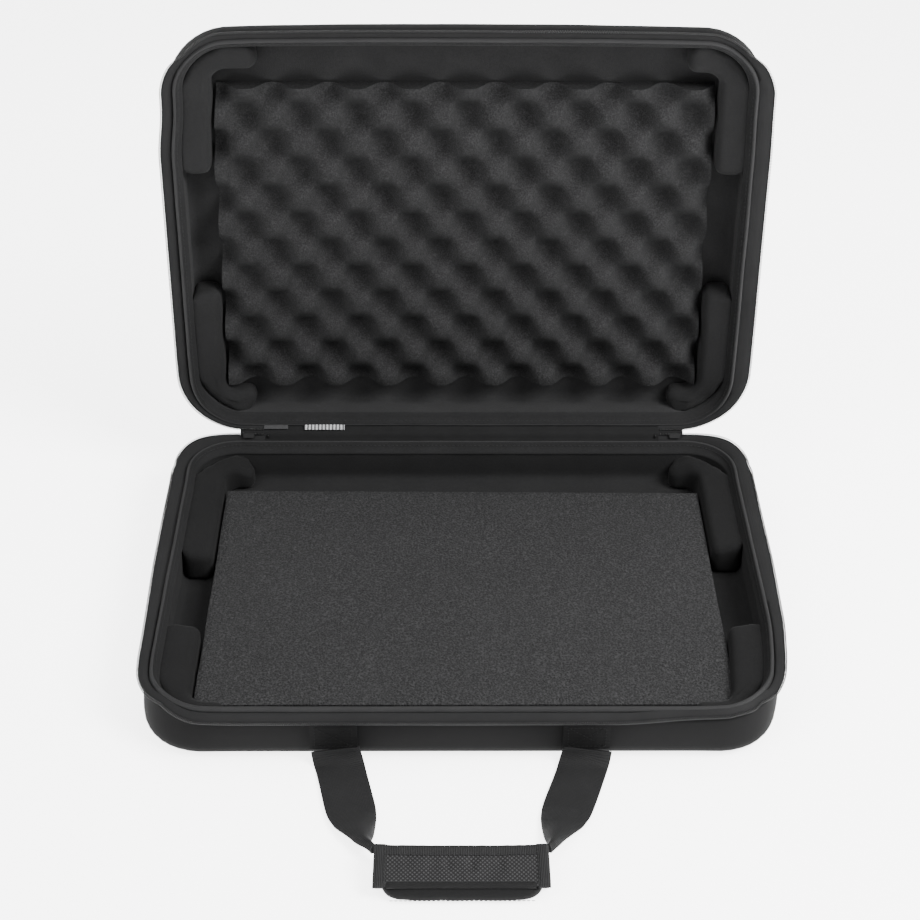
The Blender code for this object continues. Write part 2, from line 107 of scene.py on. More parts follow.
def outline(s):
    """Point on the outer wall and the direction outwards, s metres along the outline."""
    s = s % PERIMETER
    for start, end, place, heading, turns in RUNS:
        if s <= end:
            break
    along = s - start
    if turns:
        centre = place + CORNER * Vector((-sin(heading), cos(heading)))
        heading += along / CORNER
        outwards = Vector((sin(heading), -cos(heading)))
        return centre + CORNER * outwards, outwards
    return place + along * Vector((cos(heading), sin(heading))), Vector((sin(heading), -cos(heading)))


def half_point(s, inset, z):
    place, outwards = outline(s)
    return Vector((*(place - outwards * inset), z))


def smooth(x):
    x = min(1.0, max(0.0, x))
    return x * x * (3 - 2 * x)


def soften(p, matrix):
    """A half's point moved for its soft corners, which differ a little from corner to corner."""
    x, y, height = p.x / (WIDTH / 2), p.y / (DEPTH / 2), smooth(p.z / RIM)
    sign = 1 if x > 0 else -1
    side = smooth((abs(x) - 0.70) / 0.30)
    front, rear = smooth((-y - 0.60) / 0.40), smooth((y - 0.60) / 0.40)
    if matrix is LID:
        inwards = front * ((-1.0 if x > 0 else -2.5) + 4.0 * height) + 2.3 * height * rear
        inwards *= side * MM / sqrt(2)
        narrow = smooth((-y - 0.40) / 0.25) * (4.5 if x > 0 else 1.0) * abs(x) * MM
        lower = (1 - height) * (4.5 + 5.5 * abs(x) ** 3) + height * (1.0 + 3.5 * abs(x) ** 3)
        lower *= front * MM
    else:
        inwards = side * height * (8.5 * front - 2.5 * rear) * MM / sqrt(2)
        inwards -= side * front * (1 - height) * 1.5 * MM
        narrow = smooth((-y - 0.35) / 0.50) * (6.5 + 3.0 * (1 - height)) * max(0.0, x) * MM
        lower = 0.0
    crown = 0.0 if matrix is LID else 2.2 * MM * front * height * (1 - side)
    return Vector((p.x - (inwards + narrow) * sign, p.y - inwards * (1 if y > 0 else -1) + lower,
                   p.z + crown))


def steps(start, end, step):
    count = max(2, ceil(abs((end - start) / step)))
    return [start + (end - start) * i / count for i in range(count + 1)]


def make_piece(name, points, faces, uvs, material, matrix=None, sharp=35):
    """Mesh from points in the row's frame, or in a half's own frame if its matrix is given."""
    if matrix:
        points = [matrix @ soften(Vector(p), matrix) for p in points]
    mesh = bpy.data.meshes.new(name)
    mesh.from_pydata(points, [], faces)
    if uvs:
        layer = mesh.uv_layers.new(name="metres")
        for i, uv in enumerate(uvs):
            layer.data[i].uv = uv
    mesh.shade_smooth()
    mesh.set_sharp_from_angle(angle=radians(sharp))
    mesh.materials.append(material)
    obj = bpy.data.objects.new(name, mesh)
    bpy.context.scene.collection.objects.link(obj)
    return obj


def settle(obj, body, slot, *nodes):
    """Ride on a body and stand for CAD nodes. The slot is not used."""
    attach(obj, body)
    if nodes:
        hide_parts(*nodes)
    return obj


def grid_faces(rows, columns, wrap_rows, wrap_columns):
    """Quads of a grid of points, with the row and column of each corner for its UV."""
    faces, corners = [], []
    for r in range(rows if wrap_rows else rows - 1):
        for c in range(columns if wrap_columns else columns - 1):
            quad = ((r, c), (r, c + 1), (r + 1, c + 1), (r + 1, c))
            faces.append([(a % rows) * columns + b % columns for a, b in quad])
            corners += quad
    return faces, corners


def loft(name, rows, material, matrix=None, wrap_rows=False, wrap_columns=True,
         lengths=None, sharp=35):
    """Skin over rows of points. Rows follow U in metres, and the columns follow V."""
    count = len(rows[0])
    faces, corners = grid_faces(len(rows), count, wrap_rows, wrap_columns)
    points = [p for row in rows for p in row]
    if lengths is None:
        lengths = [0.0]
        for a, b in zip(rows, rows[1:] + rows[:1]):
            lengths.append(lengths[-1] + (Vector(b[0]) - Vector(a[0])).length)
    middle = rows[len(rows) // 2]
    across = [0.0]
    for a, b in zip(middle, middle[1:] + middle[:1]):
        across.append(across[-1] + (Vector(b) - Vector(a)).length)
    uvs = [(lengths[r], across[c]) for r, c in corners]
    if not wrap_rows and wrap_columns:
        for row in (0, len(rows) - 1):
            ring = [row * count + c for c in range(count)]
            faces.append(ring if row else ring[::-1])
            uvs += [(lengths[row], across[c]) for c in (range(count) if row else range(count)[::-1])]
    obj = make_piece(name, points, faces, uvs, material, matrix, sharp)
    face_outwards(obj)
    return obj


def face_outwards(obj):
    shape = bmesh.new()
    shape.from_mesh(obj.data)
    bmesh.ops.recalc_face_normals(shape, faces=shape.faces)
    shape.to_mesh(obj.data)
    shape.free()


def cup(name, profile, material, matrix, step=9 * MM, shrink=6, ripple=None):
    """Closed solid of rings round the outline, one for each (inset, z), with both ends drawn in."""
    stations = steps(0, PERIMETER, step)[:-1]
    rows = []
    for k in range(1, shrink + 1):
        scale = k / (shrink + 1)
        rows.append([Vector((p.x * scale, p.y * scale, p.z))
                     for p in (half_point(s, *profile[0]) for s in stations)])
    rows += [[half_point(s, *p) for s in stations] for p in profile]
    for k in range(shrink, 0, -1):
        scale = k / (shrink + 1)
        rows.append([Vector((p.x * scale, p.y * scale, p.z))
                     for p in (half_point(s, *profile[-1]) for s in stations)])
    if ripple:
        rows = [[ripple(p) for p in row] for row in rows]
    return loft(name, rows, material, matrix)


def arc_points(centre, radius, start, end, count):
    angles = [start + (end - start) * i / count for i in range(count + 1)]
    return [(centre[0] + radius * cos(a), centre[1] + radius * sin(a)) for a in angles]


def wobble(place, size):
    """Soft noise from -1 to 1 whose features are about size metres long."""
    return noise.noise(Vector(place) / size)


# ---------------------------------------------------------------- materials

class Finish:
    """A Principled material with helpers for its procedural detail."""

    def __init__(self, name, colour, roughness, metallic=0.0, sheen=0.0, specular=0.08):
        self.material = bpy.data.materials.new(name)
        self.material.use_nodes = True
        self.nodes = self.material.node_tree.nodes
        self.links = self.material.node_tree.links
        self.shader = self.nodes["Principled BSDF"]
        self.colour = colour
        self.set(self.shader, **{"Roughness": roughness, "Metallic": metallic, "Sheen Weight": sheen,
                                 "Sheen Roughness": 0.5, "Specular IOR Level": specular})
        self.set(self.shader, **{"Base Color": (*colour, 1)})

    @staticmethod
    def set(node, **values):
        for key, value in values.items():
            node.inputs[key].default_value = value

    def add(self, kind, **values):
        node = self.nodes.new("ShaderNode" + kind)
        self.set(node, **values)
        return node

    def coordinates(self, source, scale=(1, 1, 1), turn=0.0):
        origin = self.nodes.new("ShaderNodeTexCoord")
        mapping = self.add("Mapping", Scale=scale, Rotation=(0, 0, turn))
        self.links.new(origin.outputs[source], mapping.inputs["Vector"])
        return mapping.outputs["Vector"]

    def math(self, operation, a, b):
        node = self.nodes.new("ShaderNodeMath")
        node.operation = operation
        for socket, value in zip(node.inputs, (a, b)):
            if isinstance(value, (int, float)):
                socket.default_value = value
            else:
                self.links.new(value, socket)
        return node.outputs[0]

    def noise(self, size, detail=3.0):
        node = self.add("TexNoise", Scale=1 / size, Detail=detail, Roughness=0.6)
        self.links.new(self.coordinates("Object"), node.inputs["Vector"])
        return node.outputs["Fac"]

    def pores(self, size):
        node = self.add("TexVoronoi", Scale=1 / size)
        self.links.new(self.coordinates("Object"), node.inputs["Vector"])
        return node.outputs["Distance"]

    def ribs(self, pitch, direction="X", turn=0.0, source="UV", scale=(1, 1, 1)):
        node = self.add("TexWave", Scale=0.31416 / pitch, Distortion=0.0)
        node.bands_direction = direction
        self.links.new(self.coordinates(source, scale, turn), node.inputs["Vector"])
        return node.outputs["Fac"]

    def twill(self, pitch):
        """Fine lozenges that need no UVs."""
        return self.math("MULTIPLY", self.ribs(pitch, "DIAGONAL", source="Object"),
                         self.ribs(pitch, "DIAGONAL", source="Object", scale=(-1, 1, 1)))

    def lozenges(self, pitch):
        """Coarse lozenges that follow the UVs."""
        return self.math("MULTIPLY", self.ribs(pitch, "X", radians(45)),
                         self.ribs(pitch, "Y", radians(45)))

    def weave(self, pitch_u, pitch_v):
        """Plain weave: ribs of warp and weft that swap over in a chequer."""
        warp = self.ribs(pitch_u, "X")
        weft = self.ribs(pitch_v, "Y")
        return self.math("MULTIPLY", self.math("MAXIMUM", warp, weft),
                         self.math("ADD", 0.55, self.math("MULTIPLY", warp, 0.45)))

    def bump(self, height, distance, strength=1.0):
        node = self.add("Bump", Strength=strength, Distance=distance)
        self.links.new(height, node.inputs["Height"])
        previous = self.shader.inputs["Normal"]
        if previous.is_linked:
            self.links.new(previous.links[0].from_socket, node.inputs["Normal"])
        self.links.new(node.outputs["Normal"], previous)

    def shade(self, factor, low, high):
        """Colour from low to high times the material's own colour, by a factor from 0 to 1."""
        ramp = self.nodes.new("ShaderNodeMapRange")
        self.set(ramp, **{"To Min": low, "To Max": high})
        self.links.new(factor, ramp.inputs["Value"])
        mix = self.nodes.new("ShaderNodeVectorMath")
        mix.operation = "SCALE"
        target = self.shader.inputs["Base Color"]
        if target.is_linked:
            self.links.new(target.links[0].from_socket, mix.inputs[0])
        else:
            mix.inputs[0].default_value = self.colour
        self.links.new(ramp.outputs["Result"], mix.inputs["Scale"])
        self.links.new(mix.outputs["Vector"], target)


def grey(value):
    return (value, value, value * 1.02)


def make_finishes():
    finishes = {}

    shell = Finish("shell_fabric", grey(0.0040), 0.70, sheen=0.004, specular=0.045)
    shell.bump(shell.twill(0.9 * MM), 0.08 * MM)
    shell.bump(shell.noise(14 * MM), 0.5 * MM, 0.5)
    shell.shade(shell.noise(60 * MM, 4.0), 0.82, 1.20)
    shell.shade(shell.twill(0.9 * MM), 0.80, 1.40)
    finishes["shell_fabric"] = shell

    # Fleece in shaded and lit copies of one cloth: the base's liner and pads get darker greys as painted shade,
    # and the lid's get lighter greys as painted light
    for name, value, pile in (("base_fleece", 0.0082, 0.9), ("lid_fleece", 0.0136, 0.9),
                              ("edge_fleece", 0.0086, 0.9), ("base_pad_fleece", 0.0056, 1.1),
                              ("lid_pad_fleece", 0.0084, 1.1)):
        fleece = Finish(name, grey(value), 0.92, sheen=0.02)
        fleece.bump(fleece.noise(pile * MM, 5.0), 0.35 * MM)
        fleece.bump(fleece.noise(7 * MM, 3.0), 0.5 * MM, 0.5)
        fleece.shade(fleece.noise(1.4 * MM, 4.0), 0.55, 1.45)
        fleece.shade(fleece.noise(45 * MM, 3.0), 0.80, 1.25)
        finishes[name] = fleece

    binding = Finish("binding", grey(0.0150), 0.75, sheen=0.02)
    binding.bump(binding.ribs(0.9 * MM, "X"), 0.12 * MM)
    binding.bump(binding.noise(5 * MM, 3.0), 0.4 * MM, 0.4)
    binding.shade(binding.noise(30 * MM, 4.0), 0.80, 1.25)
    finishes["binding"] = binding

    tape = Finish("zip_tape", grey(0.0090), 0.80, sheen=0.02)
    tape.bump(tape.weave(0.8 * MM, 0.55 * MM), 0.10 * MM)
    tape.shade(tape.noise(25 * MM, 3.0), 0.80, 1.25)
    finishes["zip_tape"] = tape

    coil = Finish("zip_coil", grey(0.006), 0.30, specular=0.40)
    coil.shade(coil.noise(2 * MM, 2.0), 0.7, 1.5)
    finishes["zip_coil"] = coil

    flat_foam = Finish("base_foam", grey(0.0162), 0.95)
    flat_foam.bump(flat_foam.pores(1.5 * MM), 0.8 * MM)
    flat_foam.bump(flat_foam.noise(2.5 * MM, 4.0), 0.5 * MM)
    flat_foam.shade(flat_foam.pores(1.7 * MM), 0.40, 1.70)
    flat_foam.shade(flat_foam.noise(2.2 * MM, 3.0), 0.35, 1.65)
    flat_foam.shade(flat_foam.noise(60 * MM, 3.0), 0.92, 1.08)
    finishes["base_foam"] = flat_foam

    egg_foam = Finish("lid_foam", grey(0.0124), 0.95)
    egg_foam.bump(egg_foam.pores(1.1 * MM), 0.5 * MM)
    egg_foam.shade(egg_foam.pores(1.3 * MM), 0.45, 1.65)
    egg_foam.shade(egg_foam.noise(1.8 * MM, 3.0), 0.45, 1.55)
    egg_foam.shade(egg_foam.noise(50 * MM, 3.0), 0.88, 1.12)
    finishes["lid_foam"] = egg_foam

    hinge_strip = Finish("hinge_fabric", grey(0.0062), 0.80, sheen=0.01)
    hinge_strip.bump(hinge_strip.weave(0.8 * MM, 0.8 * MM), 0.12 * MM)
    hinge_strip.shade(hinge_strip.noise(20 * MM, 3.0), 0.75, 1.25)
    finishes["hinge_fabric"] = hinge_strip

    for name, value in (("woven_tag", 0.30), ("grey_tag", 0.030)):
        tag = Finish(name, grey(value), 0.80)
        tag.bump(tag.weave(0.5 * MM, 0.5 * MM), 0.08 * MM)
        tag.shade(tag.weave(0.5 * MM, 0.5 * MM), 0.80, 1.08)
        if name == "woven_tag":
            tag.shade(tag.ribs(3.4 * MM, "X"), 0.10, 1.15)
        tag.shade(tag.noise(4 * MM, 3.0), 0.88, 1.06)
        finishes[name] = tag

    metal = Finish("slider_metal", grey(0.010), 0.38, metallic=0.5, specular=0.4)
    metal.bump(metal.noise(1.2 * MM, 3.0), 0.05 * MM)
    metal.shade(metal.noise(3 * MM, 4.0), 0.7, 1.6)
    finishes["slider_metal"] = metal

    # The anchor copy is the same webbing with a lower grey, sheen and specular: painted shade on the patches
    # against the front wall
    for name, value, sheen, specular in (("webbing", 0.0080, 0.02, 0.08),
                                         ("anchor_webbing", 0.0032, 0.004, 0.04)):
        webbing = Finish(name, grey(value), 0.62, sheen=sheen, specular=specular)
        webbing.bump(webbing.weave(1.6 * MM, 1.1 * MM), 0.22 * MM)
        webbing.shade(webbing.weave(1.6 * MM, 1.1 * MM), 0.70, 1.25)
        webbing.shade(webbing.noise(22 * MM, 4.0), 0.82, 1.22)
        finishes[name] = webbing

    grip = Finish("grip_fabric", grey(0.0150), 0.55, sheen=0.02)
    grip.bump(grip.lozenges(2.4 * MM), 0.35 * MM)
    grip.shade(grip.lozenges(2.4 * MM), 0.45, 2.30)
    grip.shade(grip.noise(16 * MM, 4.0), 0.70, 1.30)
    finishes["grip_fabric"] = grip

    roll = Finish("grip_foam", grey(0.0062), 0.85, sheen=0.02)
    roll.bump(roll.noise(0.8 * MM, 4.0), 0.25 * MM)
    roll.bump(roll.noise(9 * MM, 3.0), 0.6 * MM, 0.5)
    roll.shade(roll.noise(1.5 * MM, 4.0), 0.65, 1.35)
    finishes["grip_foam"] = roll

    grosgrain = Finish("grosgrain", grey(0.0065), 0.70, sheen=0.02)
    grosgrain.bump(grosgrain.ribs(0.9 * MM, "Y"), 0.22 * MM)
    grosgrain.shade(grosgrain.ribs(0.9 * MM, "Y"), 0.7, 1.25)
    grosgrain.shade(grosgrain.noise(9 * MM, 4.0), 0.80, 1.25)
    finishes["grosgrain"] = grosgrain

    edge_tape = Finish("edge_tape", grey(0.0120), 0.70, sheen=0.02)
    edge_tape.bump(edge_tape.ribs(1.3 * MM, "X"), 0.25 * MM)
    edge_tape.shade(edge_tape.ribs(1.3 * MM, "X"), 0.45, 1.45)
    edge_tape.shade(edge_tape.noise(9 * MM, 4.0), 0.80, 1.25)
    finishes["edge_tape"] = edge_tape

    for name, value in (("thread", 0.014), ("dark_thread", 0.0034)):
        thread = Finish(name, grey(value), 0.6, sheen=0.01)
        thread.shade(thread.noise(1.5 * MM, 2.0), 0.7, 1.3)
        finishes[name] = thread
    return {name: finish.material for name, finish in finishes.items()}


LOOK = make_finishes()


# ---------------------------------------------------------------- a half of the case

def shell(half, matrix):
    """Moulded shell: a shallow recessed panel outside, a filleted edge and a softly bulging wall."""
    fillet, top = 13.5 * MM, RIM - 8.2 * MM
    profile = [(40 * MM, 0.8 * MM), (29 * MM, 0.8 * MM), (27.5 * MM, 0.6 * MM), (26 * MM, 0.1 * MM),
               (24 * MM, 0.0), (18 * MM, 0.0)]
    profile += arc_points((fillet, fillet), fillet, radians(270), radians(180), 7)
    wall_steps = 5
    for i in range(1, wall_steps):
        share = i / wall_steps
        profile.append((-0.5 * MM * sin(pi * share), fillet + (top - 2.8 * MM - fillet) * share))
    profile += [(0.0, top - 2.8 * MM), (0.3 * MM, top - 1.5 * MM), (1.1 * MM, top - 0.4 * MM),
                (2.4 * MM, top), (4.0 * MM, top - 0.1 * MM), (4.1 * MM, top - 1 * MM)]
    inner = fillet - 4 * MM
    profile += arc_points((4 * MM + inner, 4 * MM + inner), inner, radians(180), radians(270), 3)
    profile.append((40 * MM, 4 * MM))

    def ripple(p):
        if p.z > 3 * MM and p.z < top - 4 * MM:
            outwards = Vector((p.x, p.y, 0)).normalized()
            return p + outwards * 0.25 * MM * wobble(p, 45 * MM)
        return p
    obj = cup(half + "_moulded_shell", profile, LOOK["shell_fabric"], matrix, ripple=ripple)
    return settle(obj, half, "shell_fabric", half + "_shell")


def liner(half, matrix):
    """Padded fleece liner: hidden back, soft inner wall with a rounded foot, and a floor."""
    outer, floor, radius = 4.3 * MM, 4.3 * MM, 9.5 * MM
    top = RIM - 7.6 * MM
    foot = 7 * MM
    profile = [(40 * MM, floor)] + arc_points((outer + radius, floor + radius), radius,
                                              radians(270), radians(180), 3)
    profile += [(outer, top), (LINER_FACE - 2 * MM, top), (LINER_FACE - 0.3 * MM, top - 1 * MM)]
    for i in range(1, 6):
        share = i / 6
        profile.append((LINER_FACE + 0.4 * MM * sin(pi * share),
                        top - (top - LINER_FLOOR - foot) * share))
    profile += arc_points((LINER_FACE + foot, LINER_FLOOR + foot), foot, radians(180), radians(270), 4)
    profile += [(26 * MM, LINER_FLOOR - 0.05 * MM), (40 * MM, LINER_FLOOR - 0.1 * MM)]

    def ripple(p):
        inside = p.z > LINER_FLOOR + 1 * MM and p.z < top - 1.5 * MM
        near_face = abs(max(abs(p.x) - WIDTH / 2, abs(p.y) - DEPTH / 2) + LINER_FACE) < 4 * MM
        if inside and near_face:
            outwards = Vector((p.x, p.y, 0)).normalized()
            return p + outwards * 0.7 * MM * max(0.0, wobble(p + Vector((9, 0, 0)), 26 * MM))
        return p
    # The half's own fleece copy is darker for the base and lighter for the lid: painted shade and painted light
    obj = cup(half + "_fleece_liner", profile, LOOK[half + "_fleece"], matrix, 6 * MM, ripple=ripple)
    return settle(obj, half, "fleece", half + "_liner")


RIM_LEAN = 3.2 * MM          # how far the roll leans outwards along the hinge side


def rim_sway(place, outwards, inset):
    """Slow wander of the roll and its seam along the rim, less its lean at the hinge side."""
    sway = 0.35 * MM * wobble((place.x, place.y, 3.0), 50 * MM)
    return sway, RIM_LEAN * smooth(outwards.y) * smooth((13 * MM - inset) / (4 * MM))


def binding(half, matrix):
    """Bound roll round the rim, with a flat hem turned down over the liner."""
    foot = RIM - 7.3 * MM
    rows = []
    for s in steps(0, PERIMETER, 6 * MM)[:-1]:
        place, outwards = outline(s)
        lift = 0.25 * MM * wobble((place.x, place.y, 7.0), 35 * MM)
        shape = [(4.9 * MM, foot), (4.8 * MM, RIM - 4.2 * MM), (5.0 * MM, RIM - 2.6 * MM),
                 (5.6 * MM, RIM - 1.0 * MM), (6.4 * MM, RIM - 0.2 * MM), (7.2 * MM, RIM),
                 (8.1 * MM, RIM - 0.4 * MM), (8.9 * MM, RIM - 1.4 * MM), (9.5 * MM, RIM - 2.9 * MM),
                 (10.1 * MM, RIM - 4.6 * MM), (11.0 * MM, RIM - 6.2 * MM), (12.1 * MM, RIM - 7.4 * MM),
                 (12.9 * MM, RIM - 8.6 * MM), (12.7 * MM, RIM - 9.2 * MM), (11.9 * MM, foot + 0.1 * MM)]
        row = []
        for inset, z in shape:
            sway, lean = rim_sway(place, outwards, inset)
            lean *= smooth((inset - 4.5 * MM) / MM)
            row.append(half_point(s, inset + sway - lean, z + (lift if z > RIM - 6 * MM else 0)))
        rows.append(row)
    obj = loft(half + "_bound_rim", rows, LOOK["binding"], matrix, wrap_rows=True, sharp=60)
    settle(obj, half, "binding", half + "_rim_binding")


def turned_edge(half, matrix):
    """Lining turned up over the roll's inner flank as far as its crest."""
    shape = [(8.2, -0.7), (8.5, -0.2), (9.25, -1.2), (9.9, -2.8), (10.5, -4.5), (11.4, -6.0),
             (12.5, -7.2), (13.3, -8.6), (13.0, -9.4), (12.2, -8.0), (10.4, -6.0), (9.3, -3.4)]
    rows = []
    for s in steps(0, PERIMETER, 6 * MM)[:-1]:
        place, outwards = outline(s)
        puff = 0.35 * MM * wobble((place.x, place.y, 11.0), 16 * MM)
        row = []
        for i, (inset, z) in enumerate(shape):
            sway, lean = rim_sway(place, outwards, inset * MM)
            sway += puff if 1 < i < 7 else 0
            row.append(half_point(s, inset * MM + sway - lean, RIM + z * MM))
        rows.append(row)
    obj = loft(half + "_turned_lining_edge", rows, LOOK["edge_fleece"], matrix, wrap_rows=True, sharp=60)
    return settle(obj, half, "fleece")


ZIP_END = 0.190              # the zip stops this far from the middle of the hinge side
KNEE_INSET = 4.1 * MM        # where the tape turns out from under the roll
KNEE_DROP = 3.6 * MM
TAPE_WIDTH = 8.4 * MM
TAPE_STAND = 57              # degrees that the tape stands up next to the hinge
COIL_PITCH = 1.45 * MM
COIL_RADIUS = 1.0 * MM


def zip_lie(half, s):
    """How the loose tape lies at s: its angle above the rim plane and its reach from the knee."""
    place, outwards = outline(s)
    rear, front = max(0.0, outwards.y), max(0.0, -outwards.y)
    corner = max(0.0, 1 - abs(front - 0.72) / 0.28) * (abs(outwards.x) > 0.2)
    wave = wobble((place.x, place.y, 1.0), 70 * MM)
    if half == "base":
        angle = 1 - 45 * front + 8 * wave
        side = 1 - max(rear, front)
        reach = 8.4 + 3.6 * side * smooth((place.y + 0.13) / 0.16)
        reach -= (4.2 if place.x > 0 else 3.0) * corner
        reach -= 4.2 * smooth((place.x - 0.12) / 0.08) * smooth((front - 0.8) / 0.2)
    else:
        angle = 2 + 14 * front + 5 * wave + 30 * corner
        side = 1 - max(rear, front)
        reach = 8.4 + (4.8 if place.x < 0 else 1.0) * side - 2.4 * front - 1.0 * corner
    standing = smooth(rear) ** 2
    if half == "base":
        reach += 4.2 * sin(pi * min(1.0, max(0.0, (rear - 0.2) / 0.8)))
    reach += (1.0 if half == "base" else -1.4) * standing
    return radians(angle + (TAPE_STAND - angle) * standing), reach * MM


def zip_line(half, s, beyond, side=0.0):
    """Inset and height of a point in the plane of the tape, past its free edge and above its face."""
    angle, reach = zip_lie(half, s)
    inset = KNEE_INSET - (reach + beyond) * cos(angle) + side * sin(angle)
    return inset, RIM - KNEE_DROP + (reach + beyond) * sin(angle) + side * cos(angle)


def zip_tape(half, matrix):
    """Woven tape: held under the roll, turned out at the knee, free beyond it."""
    rows = []
    thick = 0.35 * MM
    for s in steps(ZIP_END, PERIMETER - ZIP_END, 3 * MM):
        middle = [(share, 0.4 * MM * sin(pi * share)) for share in (0.08, 0.3, 0.55, 0.8, 1.0)]
        over = [zip_line(half, s, (share - 1) * TAPE_WIDTH, thick + sag) for share, sag in middle]
        under = [zip_line(half, s, (share - 1) * TAPE_WIDTH, -thick + sag) for share, sag in middle]
        root = [(KNEE_INSET + thick, RIM - 7.4 * MM), (KNEE_INSET + thick, RIM - KNEE_DROP - 0.6 * MM)]
        back = [(KNEE_INSET - thick, RIM - KNEE_DROP - 0.8 * MM), (KNEE_INSET - thick, RIM - 7.4 * MM)]
        rows.append([half_point(s, *p) for p in root + over + under[::-1] + back])
    obj = loft(half + "_zip_tape_cloth", rows, LOOK["zip_tape"], matrix, sharp=70)
    return settle(obj, half, "zip_tape", half + "_zip_tape")


def zip_coil(half, matrix):
    """Nylon coil sewn along the tape's free edge."""
    wire, per_turn = 0.34 * MM, 8
    start, end = ZIP_END + 2 * MM, PERIMETER - ZIP_END - 2 * MM
    count = int((end - start) / COIL_PITCH * per_turn)
    centres = []
    for i in range(count + 1):
        s = start + (end - start) * i / count
        turn = 2 * pi * i / per_turn
        inset, z = zip_line(half, s, (0.35 + cos(turn)) * COIL_RADIUS,
                            (0.55 + sin(turn)) * COIL_RADIUS)
        centres.append(half_point(s, inset, z))
    rows = []
    for i, centre in enumerate(centres):
        ahead = (centres[min(i + 1, count)] - centres[max(i - 1, 0)]).normalized()
        side = ahead.cross(Vector((0, 0, 1))).normalized()
        up = side.cross(ahead)
        rows.append([centre + wire * (cos(a) * side + sin(a) * up)
                     for a in (0.25 * pi, 0.75 * pi, 1.25 * pi, 1.75 * pi)])
    obj = loft(half + "_zip_coil_wire", rows, LOOK["zip_coil"], matrix, sharp=100)
    return settle(obj, half, "zip_coil", half + "_zip_coil")


def stitches(name, places, material, matrix=None, length=2.6 * MM):
    """Short thread loops lying on a surface: places are (middle, direction, outwards)."""
    radius, sides = 0.28 * MM, 6
    spine = ((-0.5, -0.3, 0.5), (-0.3, 0.55, 1.0), (0.3, 0.55, 1.0), (0.5, -0.3, 0.5))
    points, faces = [], []
    for middle, along, outwards in places:
        side = along.cross(outwards).normalized()
        first = len(points)
        for share, lift, size in spine:
            centre = middle + along * length * share + outwards * radius * lift
            for k in range(sides):
                a = 2 * pi * k / sides
                points.append(centre + radius * size * (cos(a) * side + sin(a) * outwards))
        for ring in range(first, len(points) - sides, sides):
            for k in range(sides):
                j = (k + 1) % sides
                faces.append([ring + k, ring + j, ring + sides + j, ring + sides + k])
        faces.append([first + k for k in range(sides)][::-1])
        faces.append([len(points) - sides + k for k in range(sides)])
    obj = make_piece(name, points, faces, None, material, matrix, 60)
    face_outwards(obj)
    return obj


def rim_stitches(half, matrix):
    """Seam that holds the lining to the roll's inner flank."""
    inset, z, tilt = 9.95 * MM, RIM - 2.7 * MM, 0.56
    places = []
    for s in steps(0, PERIMETER, 4.2 * MM)[:-1]:
        place, outwards = outline(s)
        along = Vector((-outwards.y, outwards.x, 0))
        inwards = Vector((-outwards.x, -outwards.y, tilt)).normalized()
        sway, lean = rim_sway(place, outwards, inset)
        places.append((half_point(s, inset + sway - lean, z), along, inwards))
    obj = stitches(half + "_rim_stitching", places, LOOK["thread"], matrix)
    return settle(obj, half, "binding")


def pad_outline(side_leg, end_leg, side_width, end_width):
    """L-shaped plan of a corner pad, in the +X +Y corner."""
    face = LINER_FACE + 0.2 * MM
    outer_x, outer_y = WIDTH / 2 - face, DEPTH / 2 - face
    radius, tip, crook = CORNER - face, 8.5 * MM, 14 * MM
    inner_x, inner_y = outer_x - side_width, outer_y - end_width
    return (arc_points((outer_x - radius, outer_y - radius), radius, 0, pi / 2, 10)
            + arc_points((outer_x - end_leg + tip, outer_y - tip), tip, pi / 2, pi, 5)
            + arc_points((outer_x - end_leg + tip, inner_y + tip), tip, pi, 1.5 * pi, 5)
            + arc_points((inner_x - crook, inner_y - crook), crook, pi / 2, 0, 7)
            + arc_points((inner_x + tip, outer_y - side_leg + tip), tip, pi, 1.5 * pi, 5)
            + arc_points((outer_x - tip, outer_y - side_leg + tip), tip, 1.5 * pi, 2 * pi, 5))


def densify(points, step):
    """Split a closed outline's long sides."""
    result = []
    for a, b in zip(points, points[1:] + points[:1]):
        a, b = Vector(a), Vector(b)
        count = max(1, round((b - a).length / step))
        result += [a + (b - a) * i / count for i in range(count)]
    return result


def outwards_of(points):
    """Outward direction at each point of an anticlockwise outline."""
    result = []
    for i, p in enumerate(points):
        ahead = (points[(i + 1) % len(points)] - points[i - 1]).normalized()
        result.append(Vector((ahead.y, -ahead.x)))
    return result


